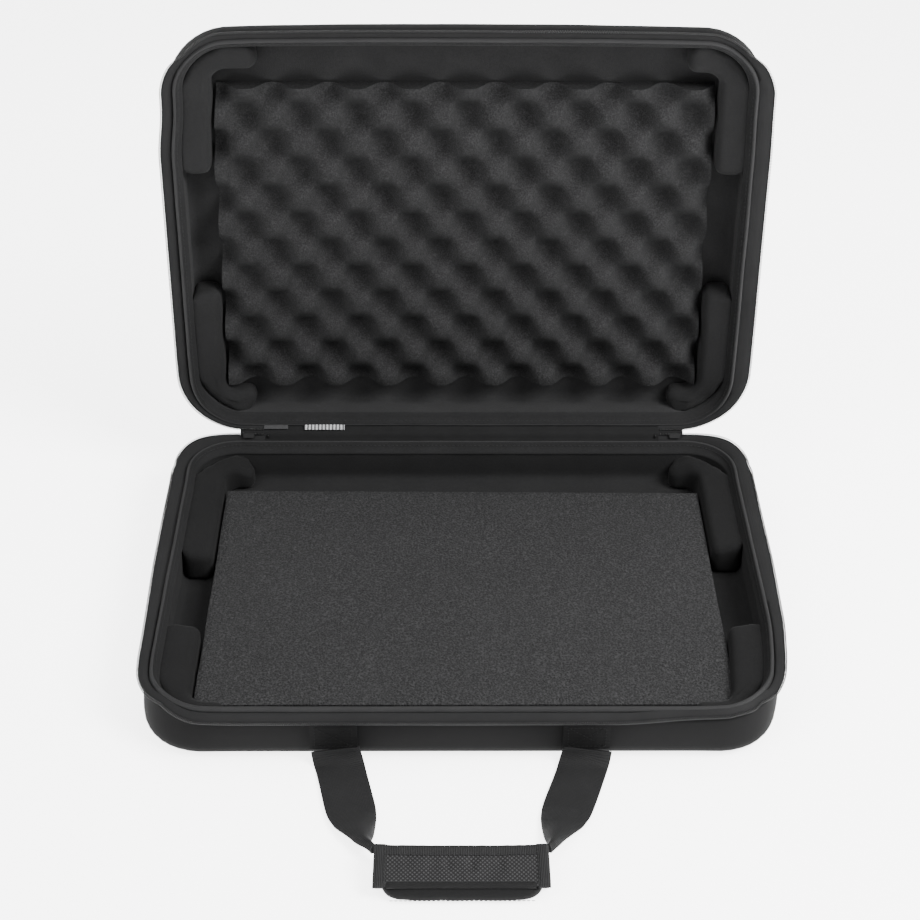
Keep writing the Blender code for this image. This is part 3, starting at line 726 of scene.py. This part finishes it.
def corner_pad(half, matrix, name, side_x, side_y, side_leg, end_leg, end_width):
    """Fleece-covered foam block, higher against the wall and rounded over along its inner edge."""
    side_width = 27.5 * MM if half == "base" else 25 * MM
    plan = densify(pad_outline(side_leg, end_leg, side_width, end_width), 4 * MM)
    directions = outwards_of(plan)
    low, high, roundness = LINER_FLOOR + 4.5 * MM, RIM - 11.5 * MM, 8.0 * MM
    rings = [(3.4 * MM, LINER_FLOOR + 0.6 * MM), (1.4 * MM, LINER_FLOOR + 1.8 * MM),
             (0.4 * MM, LINER_FLOOR + 3.6 * MM), (0.0, low + 1.5 * MM), (-0.1 * MM, (low + high) / 2)]
    for i in range(8):
        a = pi / 2 * i / 7
        rings.append((roundness * (1 - cos(a)), high - roundness + roundness * sin(a)))
    rows = []
    for inset, z in rings:
        row = []
        for p, out in zip(plan, directions):
            q = p - out * inset
            to_wall = min(WIDTH / 2 - LINER_FACE - q.x, DEPTH / 2 - LINER_FACE - q.y)
            rise = smooth(1 - to_wall / (20 * MM)) * 3.5 * MM * smooth((z - low) / (high - low))
            against_wall = max(0.0, out.x, out.y) ** 2 * smooth(1 - (to_wall - inset) / (3 * MM))
            if z >= high - roundness:
                rise += (high - z) * against_wall
            if side_y > 0:
                tail = WIDTH / 2 - LINER_FACE - end_leg - q.x
                rise -= 8.5 * MM * smooth(1 + tail / (24 * MM)) * smooth((z - low) / (high - low))
            soft = 0.9 * MM * wobble((q.x * side_x, q.y * side_y, z + 5.0), 22 * MM)
            soft += 0.4 * MM * wobble((q.x * side_x, q.y * side_y, z + 9.0), 8 * MM)
            soft *= smooth((z - LINER_FLOOR) / (6 * MM))
            q = q - out * max(0.0, soft)
            row.append(Vector((q.x * side_x, q.y * side_y, z + rise + 0.6 * soft)))
        rows.append(row)
    # The half's pad fleece copy is darker for the base and lighter for the lid: painted shade and painted light
    obj = loft("%s_corner_pad_%s_cover" % (half, name), rows, LOOK[half + "_pad_fleece"], matrix,
               sharp=60)
    settle(obj, half, "fleece", "%s_corner_pad_%s" % (half, name))
    return obj


# ---------------------------------------------------------------- foam pads

def height_slab(name, xs, ys, low, top_at, material, matrix, edge_at):
    """Slab with a flat underside at low, a top that follows top_at(x, y) and sides at edge_at(x, y)."""
    columns = len(ys)
    points = [Vector((*edge_at(x, y), top_at(x, y))) for x in xs for y in ys]
    faces, _ = grid_faces(len(xs), columns, False, False)
    rim = ([(i, 0) for i in range(len(xs))] + [(len(xs) - 1, j) for j in range(1, columns)]
           + [(i, columns - 1) for i in range(len(xs) - 2, -1, -1)]
           + [(0, j) for j in range(columns - 2, 0, -1)])
    top_ring = [i * columns + j for i, j in rim]
    previous = top_ring
    for share in (0.5, 1.0):
        ring = []
        for index in top_ring:
            p = points[index]
            ring.append(len(points))
            points.append(Vector((p.x, p.y, p.z + (low - p.z) * share)))
        for k in range(len(rim)):
            j = (k + 1) % len(rim)
            faces.append([previous[k], previous[j], ring[j], ring[k]])
        previous = ring
    faces.append(previous)
    obj = make_piece(name, points, faces, None, material, matrix, 50)
    face_outwards(obj)
    return obj


def cut_edge(x, y, half_width, front, rear, skew):
    """Move a point near the pad's border so that the cut edge wanders a little."""
    near_x = smooth((abs(x) - half_width + 12 * MM) / (12 * MM))
    middle, reach = (front + rear) / 2, (rear - front) / 2
    near_y = smooth((abs(y - middle) - reach + 12 * MM) / (12 * MM))
    dx = -0.8 * MM * abs(wobble((x, y, 11.0), 60 * MM)) * near_x * (1 if x > 0 else -1)
    dy = -0.8 * MM * abs(wobble((x, y, 17.0), 60 * MM)) * near_y * (1 if y > middle else -1)
    return x + dx, y + dy + skew * x * smooth((y - middle) / reach)


def base_foam():
    low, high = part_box("base_foam_pad")
    half_width = (high.x - low.x) / 2

    def top_at(x, y):
        border = min(half_width - abs(x), y - low.y, high.y - y)
        rounding = 1.0 * MM * (1 - smooth(border / (3 * MM)))
        return high.z - rounding - 0.35 * MM * abs(wobble((x, y, 2.0), 9 * MM))

    def edge_at(x, y):
        return cut_edge(x, y, half_width, low.y, high.y, -0.008)
    obj = height_slab("base_flat_foam", steps(low.x, high.x, 3.5 * MM), steps(low.y, high.y, 3.5 * MM),
                      low.z, top_at, LOOK["base_foam"], None, edge_at)
    settle(obj, "base_foam", "base_foam", "base_foam_pad")


FOAM_PEAK_PITCH = 50.5 * MM      # along a row of the convoluted foam
FOAM_ROW_PITCH = 53.5 * MM       # two staggered rows
FOAM_PEAK = (0.1980, 0.1279)     # one peak, in the lid's own frame


def lid_foam():
    half_width, front, rear = 225 * MM, -141 * MM, 159.5 * MM
    valley, peak = LINER_FLOOR + 2.5 * MM, RIM - 16.5 * MM

    def top_at(x, y):
        a = 2 * pi * (x - FOAM_PEAK[0]) / FOAM_PEAK_PITCH
        b = 2 * pi * (y - FOAM_PEAK[1]) / FOAM_ROW_PITCH
        wave = 0.5 + 0.265 * cos(a + b) + 0.235 * cos(a - b)
        shaped = smooth(wave) ** 0.80
        return valley + (peak - valley) * shaped + 0.5 * MM * wobble((x, y, 4.0), 20 * MM)

    def edge_at(x, y):
        return cut_edge(x, y, half_width, front, rear, 0.0)
    obj = height_slab("lid_convoluted_foam", steps(-half_width, half_width, 3 * MM),
                      steps(front, rear, 3 * MM), LINER_FLOOR + 0.3 * MM, top_at, LOOK["lid_foam"],
                      LID, edge_at)
    settle(obj, "lid", "lid_foam", "lid_foam_pad")


# ---------------------------------------------------------------- hinge, tags and sliders

HINGE_STRIP_HALF = 0.2140        # half of the strip's length


def hinge_line():
    """Cross-section of the hinge strip in the row's frame: up one rim, over the axis, down the other."""
    knee = (DEPTH / 2 - KNEE_INSET - 0.3 * MM, RIM - KNEE_DROP)
    root = (knee[0], RIM - 7.4 * MM)
    tip = (HINGE.y - 1.0 * MM, HINGE.z - 1.0 * MM)
    half = [Vector((0, *root)), Vector((0, *knee))]
    for share in (0.25, 0.5, 0.75, 1.0):
        bow = 0.5 * MM * sin(pi * share)
        half.append(Vector((0, knee[0] + (tip[0] - knee[0]) * share + bow,
                            knee[1] + (tip[1] - knee[1]) * share - bow)))
    mirror = [LID @ Vector((0, p.y, p.z)) for p in half]
    return half + mirror[::-1]


def hinge_strip():
    line = hinge_line()
    thick = 0.45 * MM
    normals = []
    for i in range(len(line)):
        ahead = (line[min(i + 1, len(line) - 1)] - line[max(i - 1, 0)]).normalized()
        normals.append(Vector((0, -ahead.z, ahead.y)))
    rows = []
    for x in steps(-HINGE_STRIP_HALF, HINGE_STRIP_HALF, 4 * MM):
        row = []
        for side in (1, -1):
            pairs = list(zip(line, normals))[::side]
            for p, normal in pairs:
                ripple = 0.25 * MM * wobble((x, p.y * 2, p.z * 2), 18 * MM)
                q = p + normal * (side * thick + ripple)
                row.append(Vector((x, q.y, q.z)))
        rows.append(row)
    obj = loft("hinge_strip", rows, LOOK["hinge_fabric"])
    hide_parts("base_hinge_leaf", "lid_hinge_leaf")
    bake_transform(obj)


def tags():
    """Blank woven tags, a little bowed, in place of the CAD's flat ones."""
    for name, bow, shift, trim in (("woven_tag", 0.5 * MM, 0.0, 0.12),
                                   ("grey_tag", 0.3 * MM, -9 * MM, 0.22)):
        low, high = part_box(name)
        low.x, high.x = low.x + shift, high.x + shift
        along = Vector((0, high.y - low.y, high.z - low.z))
        across = Vector((0, -along.z, along.y)).normalized()
        rows = []
        for x in steps(low.x, high.x, 2 * MM):
            share_x = (x - low.x) / (high.x - low.x)
            row = []
            for side in (1, -1):
                for share in (trim, 0.33, 0.67, 1 - trim)[::side]:
                    lift = bow * sin(pi * share) * sin(pi * share_x) + 0.15 * MM * side
                    p = Vector((x, low.y, low.z)) + along * share + across * (lift + 0.2 * MM)
                    row.append(p)
            rows.append(row)
        obj = loft(name + "_cloth", rows, LOOK[name])
        settle(obj, "lid", name, name)


# ---------------------------------------------------------------- handle

HANDLE_X = (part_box("anchor_patch_left")[0].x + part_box("anchor_patch_right")[1].x) / 2
FRONT_WALL = -DEPTH / 2
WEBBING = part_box("anchor_patch_left")[1].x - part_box("anchor_patch_left")[0].x
STRAP_THICKNESS = 1.6 * MM
# Each row: distance from the handle's centre, y, z, share of the webbing's width, and its turn
STRAP_PATH = ((0.1016, -0.2003, 0.0129, 1.00, 0.00), (0.1005, -0.2022, 0.0070, 1.00, 0.02),
              (0.0978, -0.2085, 0.0022, 1.00, 0.06), (0.0938, -0.2235, 0.0012, 1.00, 0.10),
              (0.0852, -0.2556, 0.0020, 1.00, 0.14), (0.0810, -0.2696, 0.0030, 0.90, 0.20),
              (0.0780, -0.2790, 0.0040, 0.74, 0.26), (0.0748, -0.2890, 0.0060, 0.52, 0.32),
              (0.0722, -0.2985, 0.0080, 0.30, 0.40), (0.0685, -0.3055, 0.0095, 0.18, 0.60),
              (0.0630, -0.3105, 0.0095, 0.16, 0.80))


def curve_through(rows, count):
    """Catmull-Rom curve through rows of numbers, with count steps for each span."""
    result = []
    for i in range(len(rows) - 1):
        a, b = rows[max(i - 1, 0)], rows[i]
        c, d = rows[i + 1], rows[min(i + 2, len(rows) - 1)]
        for k in range(count):
            t = k / count
            result.append([0.5 * (2 * q + (r - p) * t + (2 * p - 5 * q + 4 * r - s) * t * t
                                  + (3 * q - p - 3 * r + s) * t ** 3)
                           for p, q, r, s in zip(a, b, c, d)])
    return result + [list(rows[-1])]


def strap(side, sign):
    """Webbing that runs down the wall, over the ground and into the grip, cupping as it narrows."""
    path = curve_through(STRAP_PATH, 5)
    centres = [Vector((HANDLE_X + sign * row[0] + (1.2 - 3.0 * smooth((-0.2 - row[1]) / 0.08)) * MM
                       * smooth((row[1] + 0.308) / 0.015),
                       row[1], row[2])) for row in path]
    columns = 10
    rows = []
    for i, (row, centre) in enumerate(zip(path, centres)):
        tangent = (centres[min(i + 1, len(path) - 1)] - centres[max(i - 1, 0)]).normalized()
        across = Vector((cos(row[4]), sign * sin(row[4]), 0))
        across = (across - tangent * across.dot(tangent)).normalized()
        up = across.cross(tangent).normalized()
        if up.z < 0 or (abs(up.z) < 0.3 and up.y > 0):
            up = -up
        width = 1.04 * WEBBING * row[3]
        rise = 0.13 * WEBBING * sqrt(max(0.0, 1 - row[3] ** 2))
        flat = smooth((i - 8) / 6)
        ring = []
        for face in (1, -1):
            for j in range(columns + 1)[::face]:
                share = 2 * j / columns - 1
                thick = STRAP_THICKNESS * (1.0 if abs(share) < 0.95 else 0.6)
                wave = 0.5 * MM * flat * wobble(centre + across * share * width, 28 * MM)
                lift = rise * (1 - share * share) + face * thick / 2 + wave
                ring.append(centre + across * (share * width / 2) + up * lift)
        rows.append(ring)
    lengths = [0.0]
    for a, b in zip(centres, centres[1:]):
        lengths.append(lengths[-1] + (b - a).length)
    obj = loft("strap_webbing_" + side, rows, LOOK["webbing"], lengths=lengths, sharp=60)
    settle(obj, "handle", "webbing", "strap_" + side)


def anchor(side, sign):
    """Webbing sewn on the front wall with a boxed cross of stitches."""
    centre = HANDLE_X + sign * (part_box("anchor_patch_right")[1].x - HANDLE_X - WEBBING / 2)
    low, high, half = 13.1 * MM, RIM - 8.6 * MM, WEBBING / 2
    rows = []
    for z in steps(low, high, 2 * MM):
        ring = []
        for y, columns in ((FRONT_WALL - 3.1 * MM, steps(-half, half, 5 * MM)),
                           (FRONT_WALL - 0.3 * MM, steps(half, -half, 5 * MM))):
            for x in columns:
                bulge = 0.25 * MM * wobble((centre + x, z, 5.0), 14 * MM)
                ring.append(Vector((centre + x, y + bulge * (y < FRONT_WALL - MM), z)))
        rows.append(ring)
    # The patch takes the darker webbing copy, which is painted shade
    obj = loft("anchor_webbing_" + side, rows, LOOK["anchor_webbing"], sharp=50)
    settle(obj, "base", "webbing", "anchor_patch_" + side)
    left, right = centre - half + 4 * MM, centre + half - 4 * MM
    bottom, top = low + 3 * MM, high - 3 * MM
    corners = [Vector((x, FRONT_WALL - 3.25 * MM, z))
               for x, z in ((left, bottom), (right, bottom), (right, top), (left, top))]
    seams = [(corners[i], corners[(i + 1) % 4]) for i in range(4)]
    seams += [(corners[0], corners[2]), (corners[1], corners[3])]
    places = []
    for a, b in seams:
        count = max(2, round((b - a).length / (3.2 * MM)))
        along = (b - a).normalized()
        places += [(a + (b - a) * (i + 0.5) / count, along, Vector((0, -1, 0)))
                   for i in range(count)]
    obj = stitches("anchor_stitching_" + side, places, LOOK["dark_thread"], length=2.4 * MM)
    settle(obj, "base", "webbing")


flap_low, flap_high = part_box("grip_flap")
GRIP_ENDS = (flap_low.x, flap_high.x)
REAR_EDGE = (-0.3163, 8.7 * MM, 8.3 * MM)        # y, z and radius of the padding's rounded edges
FRONT_EDGE = (-0.3425, 5.9 * MM, 5.5 * MM)
SLOPE = 2 * asin((REAR_EDGE[2] - FRONT_EDGE[2]) / (REAR_EDGE[0] - FRONT_EDGE[0]))
UPHILL = Vector((0, cos(SLOPE), sin(SLOPE)))
OFF_TOP = Vector((0, -sin(SLOPE), cos(SLOPE)))


def grip_section(rear, front, count=7):
    """Points round two circles joined by flat sides, from under the rear edge over the top."""
    top = pi / 2 + SLOPE
    return (arc_points(rear[:2], rear[2], -pi / 2, top, count)
            + arc_points(front[:2], front[2], top, 1.5 * pi, count))


def grip_roll():
    """Padding inside the wrap: a soft roll with rounded corners."""
    start, end = GRIP_ENDS[0] + 4.2 * MM, GRIP_ENDS[1] - 3.3 * MM
    middle, half = (start + end) / 2, (end - start) / 2
    bulge = (FRONT_EDGE[0] - 5.2 * MM, 4.9 * MM, 4.7 * MM)
    section = grip_section((REAR_EDGE[0] - 1 * MM, REAR_EDGE[1], REAR_EDGE[2] - 0.5 * MM), bulge)
    centre = Vector((0, -0.3300, 7.0 * MM))
    rows = []
    for i in range(57):
        u = -cos(pi * i / 56)
        x = middle + half * u
        pinch = max(0.02, 1 - abs(u) ** 9) ** 0.5
        row = []
        for y, z in section:
            p = Vector((x, centre.y + (y - centre.y) * pinch, centre.z + (z - centre.z) * pinch ** 0.6))
            soft = 0.5 * MM * wobble(p, 14 * MM) + 0.25 * MM * wobble(p, 5 * MM)
            away = Vector((0, y - centre.y, z - centre.z)).normalized()
            row.append(p + away * soft * pinch)
        rows.append(row)
    for row in rows:
        for p in row:
            p.z = max(p.z, 0.3 * MM)
    obj = loft("grip_padded_roll", rows, LOOK["grip_foam"], sharp=70)
    settle(obj, "handle", "grip_foam", "grip_core")
    places = []
    for x in steps(start + 9 * MM, end - 9 * MM, 3.6 * MM):
        places.append((Vector((x, bulge[0] - 4.5 * MM, bulge[1] - 2.0 * MM)),
                       Vector((1, 0, 0)), Vector((0, -0.9, -0.4)).normalized()))
    obj = stitches("grip_roll_stitching", places, LOOK["thread"])
    settle(obj, "handle", "grip_foam")


def grip_end_caps():
    """Grosgrain bound round each end of the padding."""
    for side, x0, x1 in (("left", GRIP_ENDS[0], GRIP_ENDS[0] + 10 * MM),
                         ("right", GRIP_ENDS[1] - 10 * MM, GRIP_ENDS[1])):
        rows = []
        for x in steps(x0, x1, 1.25 * MM):
            round_off = 0.8 * MM * (1 - smooth(min(x - x0, x1 - x) / (1.2 * MM)))
            rear = (REAR_EDGE[0] - 0.4 * MM, REAR_EDGE[1], REAR_EDGE[2] - round_off)
            front = (FRONT_EDGE[0] + 6.5 * MM, FRONT_EDGE[1] + 0.4 * MM, FRONT_EDGE[2] - round_off)
            rows.append([Vector((x, y, z)) for y, z in grip_section(rear, front)])
        obj = loft("grip_end_cap_" + side, rows, LOOK["grosgrain"], sharp=50)
        settle(obj, "handle", "grosgrain", "grip_end_binding_" + side)


FLAP_NEAR = (Vector((0, FRONT_EDGE[0], FRONT_EDGE[1])) + OFF_TOP * (FRONT_EDGE[2] + 0.6 * MM)
             - UPHILL * 1.2 * MM)
FLAP_LENGTH = 28.0 * MM
FLAP_THICKNESS = 2.6 * MM


def flap_surface(x, along, rise):
    """Point on the flap: along its slope from the sewn edge, with its sag, wrinkles and turned edge."""
    middle = (GRIP_ENDS[0] + GRIP_ENDS[1]) / 2
    side = (x - middle) / (GRIP_ENDS[1] - GRIP_ENDS[0]) * 2
    p = FLAP_NEAR + UPHILL * along + OFF_TOP * rise
    p.x = x + 0.5 * MM * side * (1 - along / FLAP_LENGTH)
    inside = smooth((1 - abs(side)) / 0.25)
    crease = 1.0 * MM * abs(wobble((x, along * 0.35, 3.0), 11 * MM)) * inside
    for dent, size in ((-9.8 * MM, 1.2), (7.5 * MM, 1.6), (29.2 * MM, 1.3)):
        near = ((x - HANDLE_X - dent + 0.25 * (along - 17 * MM)) / (2.4 * MM)) ** 2
        crease += size * MM / (1 + near * near) * smooth(1 - abs(along - 17 * MM) / (8 * MM))
    bow = 0.7 * MM * (1 - side * side)
    p -= OFF_TOP * (crease * smooth(along / (6 * MM)) + 0.4 * bow)
    p.y -= bow * smooth(along / FLAP_LENGTH)
    turned = 1 - smooth((along + 1 * MM) / (3.5 * MM))
    p.z -= 1.6 * MM * turned
    return p


def flap_panel(name, x0, x1, s0, s1, low, high, look, step=2.2 * MM):
    """Closed panel over the flap's surface, between two heights, with softened sides."""
    rows = []
    for x in steps(x0, x1, step):
        end = min(x - x0, x1 - x)
        pull = 0.35 * (high - low) * (1 - smooth(end / (0.6 * MM)))
        ring = []
        for face in (1, -1):
            for along in steps(s0, s1, 2.0 * MM)[::face]:
                edge = min(along - s0, s1 - along)
                tuck = 0.3 * (high - low) * (1 - smooth(edge / (0.5 * MM)))
                rise = high - pull - tuck if face > 0 else low + pull + tuck
                ring.append(flap_surface(x, along, rise))
        rows.append(ring)
    return loft(name, rows, LOOK[look], sharp=50)


def grip_flap():
    """Fabric flap that closes the grip, with grosgrain round its ends and its free edge."""
    x0, x1 = GRIP_ENDS
    panel = flap_panel("grip_flap_panel", x0 + 0.6 * MM, x1 - 0.6 * MM, -1.6 * MM, FLAP_LENGTH - 0.5 * MM,
                       0.0, FLAP_THICKNESS, "grip_fabric", 1.6 * MM)
    settle(panel, "grip_flap", "grip_fabric", "grip_flap")
    edge = flap_panel("grip_flap_edge_tape", x0 + 0.3 * MM, x1 - 0.3 * MM, FLAP_LENGTH - 4.6 * MM,
                      FLAP_LENGTH + 5.5 * MM, -0.3 * MM, FLAP_THICKNESS + 0.7 * MM, "edge_tape")
    settle(edge, "grip_flap", "grosgrain", "grip_flap_binding")
    for side, low, high in (("left", x0 - 0.3 * MM, x0 + 9.5 * MM),
                            ("right", x1 - 9.5 * MM, x1 + 0.3 * MM)):
        band = flap_panel("grip_flap_end_tape_" + side, low, high, -2.0 * MM, FLAP_LENGTH + 6.0 * MM,
                          -0.5 * MM, FLAP_THICKNESS + 1.2 * MM, "edge_tape")
        settle(band, "grip_flap", "grosgrain")
    # A darker grosgrain band along the sewn edge: partly binding, and partly painted shade of the fold between
    # flap and roll
    band = flap_panel("grip_flap_sewn_edge_and_shade", x0 + 9 * MM, x1 - 9 * MM, -2.2 * MM, 2.2 * MM,
                      -0.4 * MM, FLAP_THICKNESS + 0.6 * MM, "grosgrain")
    settle(band, "grip_flap", "grosgrain")
    places = []
    x_axis = Vector((1, 0, 0))
    for x in steps(x0 + 12 * MM, x1 - 12 * MM, 3.4 * MM):
        for along in (FLAP_LENGTH - 3.4 * MM, FLAP_LENGTH + 4.0 * MM):
            places.append((flap_surface(x, along, FLAP_THICKNESS + 0.8 * MM), x_axis, OFF_TOP))
    for x in (x0 + 8.2 * MM, x1 - 8.2 * MM):
        for along in steps(1.5 * MM, FLAP_LENGTH + 4 * MM, 3.4 * MM):
            places.append((flap_surface(x, along, FLAP_THICKNESS + 1.3 * MM), UPHILL, OFF_TOP))
    obj = stitches("grip_flap_stitching", places, LOOK["thread"], length=2.3 * MM)
    settle(obj, "grip_flap", "grosgrain")


# ---------------------------------------------------------------- zip metal parts

def plate(name, outline, axis, thickness):
    """Flat metal part from a closed outline of points, with eased edges."""
    bevel = 0.25 * MM
    depth = Vector(axis).normalized() * thickness
    count = len(outline)
    middle = sum((Vector(p) for p in outline), Vector()) / count
    rows = []
    for share, inset in ((0.0, bevel), (bevel / thickness, 0.0), (1 - bevel / thickness, 0.0),
                         (1.0, bevel)):
        row = []
        for p in outline:
            away = Vector(p) - middle
            row.append(Vector(p) - away.normalized() * inset + depth * (share - 0.5))
        rows.append(row)
    return loft(name, rows, LOOK["slider_metal"], sharp=40)


def rounded_box(centre, u, v, half_u, half_v, radius):
    """Rounded rectangle round centre in the plane of u and v."""
    points = []
    for cu, cv, start in ((1, 1, 0), (-1, 1, pi / 2), (-1, -1, pi), (1, -1, 1.5 * pi)):
        for a, b in arc_points((cu * (half_u - radius), cv * (half_v - radius)), radius,
                               start, start + pi / 2, 4):
            points.append(Vector(centre) + Vector(u) * a + Vector(v) * b)
    return points


def slider(side):
    """Slider of two plates and a bridge, with a loop that holds the pull tab."""
    low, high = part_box("zip_slider_" + side)
    centre = (low + high) / 2
    half = (high.x - low.x) / 2
    tilt = radians(62)
    along, across = Vector((0, cos(tilt), sin(tilt))), Vector((0, sin(tilt), -cos(tilt)))
    plates = []
    for k, offset in enumerate((1.9 * MM, -1.9 * MM)):
        outline = rounded_box(centre + across * offset, (1, 0, 0), along, half, 2.5 * MM, 1.6 * MM)
        plates.append(plate("slider_plate_%s_%d" % (side, k), outline, across, 1.0 * MM))
    bridge = plate("slider_bridge_" + side,
                   rounded_box(centre + along * 1.9 * MM, (1, 0, 0), across, 3.0 * MM, 2.3 * MM, 0.8 * MM),
                   along, 1.1 * MM)
    loop = []
    for i in range(13):
        a = pi * i / 12
        spine = centre + across * (2.3 * MM + 1.5 * MM * sin(a)) + Vector((1, 0, 0)) * 3.0 * MM * cos(a)
        outwards = (Vector((1, 0, 0)) * cos(a) + across * sin(a)).normalized()
        loop.append([spine + 0.55 * MM * (cos(b) * outwards + sin(b) * along)
                     for b in (2 * pi * k / 8 for k in range(8))])
    ring = loft("slider_loop_" + side, loop, LOOK["slider_metal"], sharp=60)
    settle(plates[0], "slider_" + side, "slider_metal", "zip_slider_" + side)
    for obj in (plates[1], bridge, ring):
        settle(obj, "slider_" + side, "slider_metal")


def pull_tab(side):
    """Waisted tab with a ribbed end."""
    low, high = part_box("pull_tab_" + side)
    centre = (low + high) / 2
    half, reach = (high.x - low.x) / 2, (high.z - low.z) / 2
    outline = []
    samples = 40
    for k in range(samples):
        a = 2 * pi * k / samples
        v = sin(a)
        waist = 1 - 0.28 * (1 - v * v) ** 2
        wide = abs(cos(a)) ** 0.45 * (1 if cos(a) >= 0 else -1)
        outline.append(centre + Vector((half * waist * wide, 0, reach * v)))
    tab = plate("tab_plate_" + side, outline, (0, 1, 0), 1.1 * MM)
    settle(tab, "pull_tab_" + side, "slider_metal", "pull_tab_" + side)
    for k in range(4):
        z = low.z + (3.0 + 1.9 * k) * MM
        rib = plate("tab_rib_%s_%d" % (side, k),
                    rounded_box((centre.x, centre.y, z), (1, 0, 0), (0, 0, 1), 2.0 * MM, 0.42 * MM,
                                0.35 * MM), (0, 1, 0), 1.7 * MM)
        settle(rib, "pull_tab_" + side, "slider_metal")


def zip_stop(side):
    """Metal clamp that ends the zip."""
    low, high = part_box("zip_stop_" + side)
    centre, size = (low + high) / 2, high - low
    stop = plate("zip_stop_clamp_" + side,
                 rounded_box(centre, (0, 1, 0), (0, 0, 1), size.y / 2, size.z / 2, 0.9 * MM),
                 (1, 0, 0), size.x)
    settle(stop, "base", "slider_metal", "zip_stop_" + side)


# ---------------------------------------------------------------- stage

def camera():
    """The camera's place and angle: it looks down on the open case from the handle side."""
    eye = Vector((-0.0199, -1.3201, 1.0134 + RIM + 0.0003))
    yaw, pitch, roll = radians(0.689), radians(34.38), radians(0.41)
    forward = Vector((sin(yaw) * cos(pitch), cos(yaw) * cos(pitch), -sin(pitch)))
    right = Vector((cos(yaw), -sin(yaw), 0))
    up = right.cross(forward)
    turned_right = cos(roll) * right + sin(roll) * up
    turned_up = -sin(roll) * right + cos(roll) * up
    data = bpy.data.cameras.new("camera")
    data.lens, data.sensor_width = 73.75, 36.0
    obj = bpy.data.objects.new("camera", data)
    bpy.context.scene.collection.objects.link(obj)
    turn = Matrix((turned_right, turned_up, -forward)).transposed().to_4x4()
    obj.matrix_world = Matrix.Translation(eye) @ turn
    bpy.context.scene.camera = obj


def area_light(name, place, target, size, power):
    data = bpy.data.lights.new(name, "AREA")
    data.shape, data.size, data.energy = "SQUARE", size, power
    obj = bpy.data.objects.new(name, data)
    bpy.context.scene.collection.objects.link(obj)
    obj.location = place
    obj.rotation_euler = (Vector(target) - Vector(place)).to_track_quat("-Z", "Y").to_euler()


def studio():
    world = bpy.data.worlds.new("studio")
    bpy.context.scene.world = world
    world.use_nodes = True
    background = world.node_tree.nodes["Background"]
    background.inputs["Color"].default_value = (1.0, 1.0, 1.0, 1)
    background.inputs["Strength"].default_value = 0.85
    area_light("key", (1.35, -0.65, 1.6), (0, 0.05, 0.1), 1.1, 122)
    area_light("fill", (-1.4, -0.8, 1.9), (0, 0.05, 0.1), 1.5, 44)
    area_light("top", (0.2, 0.5, 2.3), (0, 0.1, 0.1), 1.4, 30)
    paper = Finish("paper", (0.88, 0.88, 0.88), 0.9)
    paper.shade(paper.noise(0.4, 2.0), 0.99, 1.01)
    paper.set(paper.shader, **{"Emission Color": (1, 1, 1, 1), "Emission Strength": 4.0})
    size, level = 6.0, -0.0004
    floor = make_piece("floor", [(-size, -size, level), (size, -size, level), (size, size, level),
                                 (-size, size, level)], [[0, 1, 2, 3]], None, paper.material)


def dress_cad_nodes():
    """Give the CAD nodes that stay their procedural materials."""
    slots = {entry["node"]: entry["material_slot"] for entry in frame["record"]["subparts"]}
    for name, obj in frame["nodes"].items():
        obj.data.materials.clear()
        # CAD fleece nodes take their half's copy, whose grey holds painted shade for the base and painted light
        # for the lid
        look = name.split("_")[0] + "_fleece" if slots[name] == "fleece" else slots[name]
        obj.data.materials.append(LOOK[look])


camera()
studio()
dress_cad_nodes()
for half, matrix in (("base", BASE), ("lid", LID)):
    shell(half, matrix)
    liner(half, matrix)
    binding(half, matrix)
    turned_edge(half, matrix)
    zip_tape(half, matrix)
    zip_coil(half, matrix)
    rim_stitches(half, matrix)
# Each pad: its corner, the signs of x and y in its half's frame, its two legs, and the end leg's width
for row in (("front_left", -1, -1, 0.117, 0.058, 0.0185), ("front_right", 1, -1, 0.117, 0.062, 0.0185),
            ("rear_left", -1, 1, 0.160, 0.053, 0.0185), ("rear_right", 1, 1, 0.150, 0.053, 0.0185)):
    corner_pad("base", BASE, *row)
for row in (("top_left", 1, -1, 0.125, 0.067, 0.0240), ("top_right", -1, -1, 0.125, 0.055, 0.0270),
            ("bottom_left", 1, 1, 0.128, 0.053, 0.0185), ("bottom_right", -1, 1, 0.128, 0.053, 0.0185)):
    corner_pad("lid", LID, *row)
base_foam()
lid_foam()
hinge_strip()
tags()
for side, sign in (("left", -1), ("right", 1)):
    strap(side, sign)
    anchor(side, sign)
    slider(side)
    pull_tab(side)
    zip_stop(side)
grip_roll()
grip_end_caps()
grip_flap()
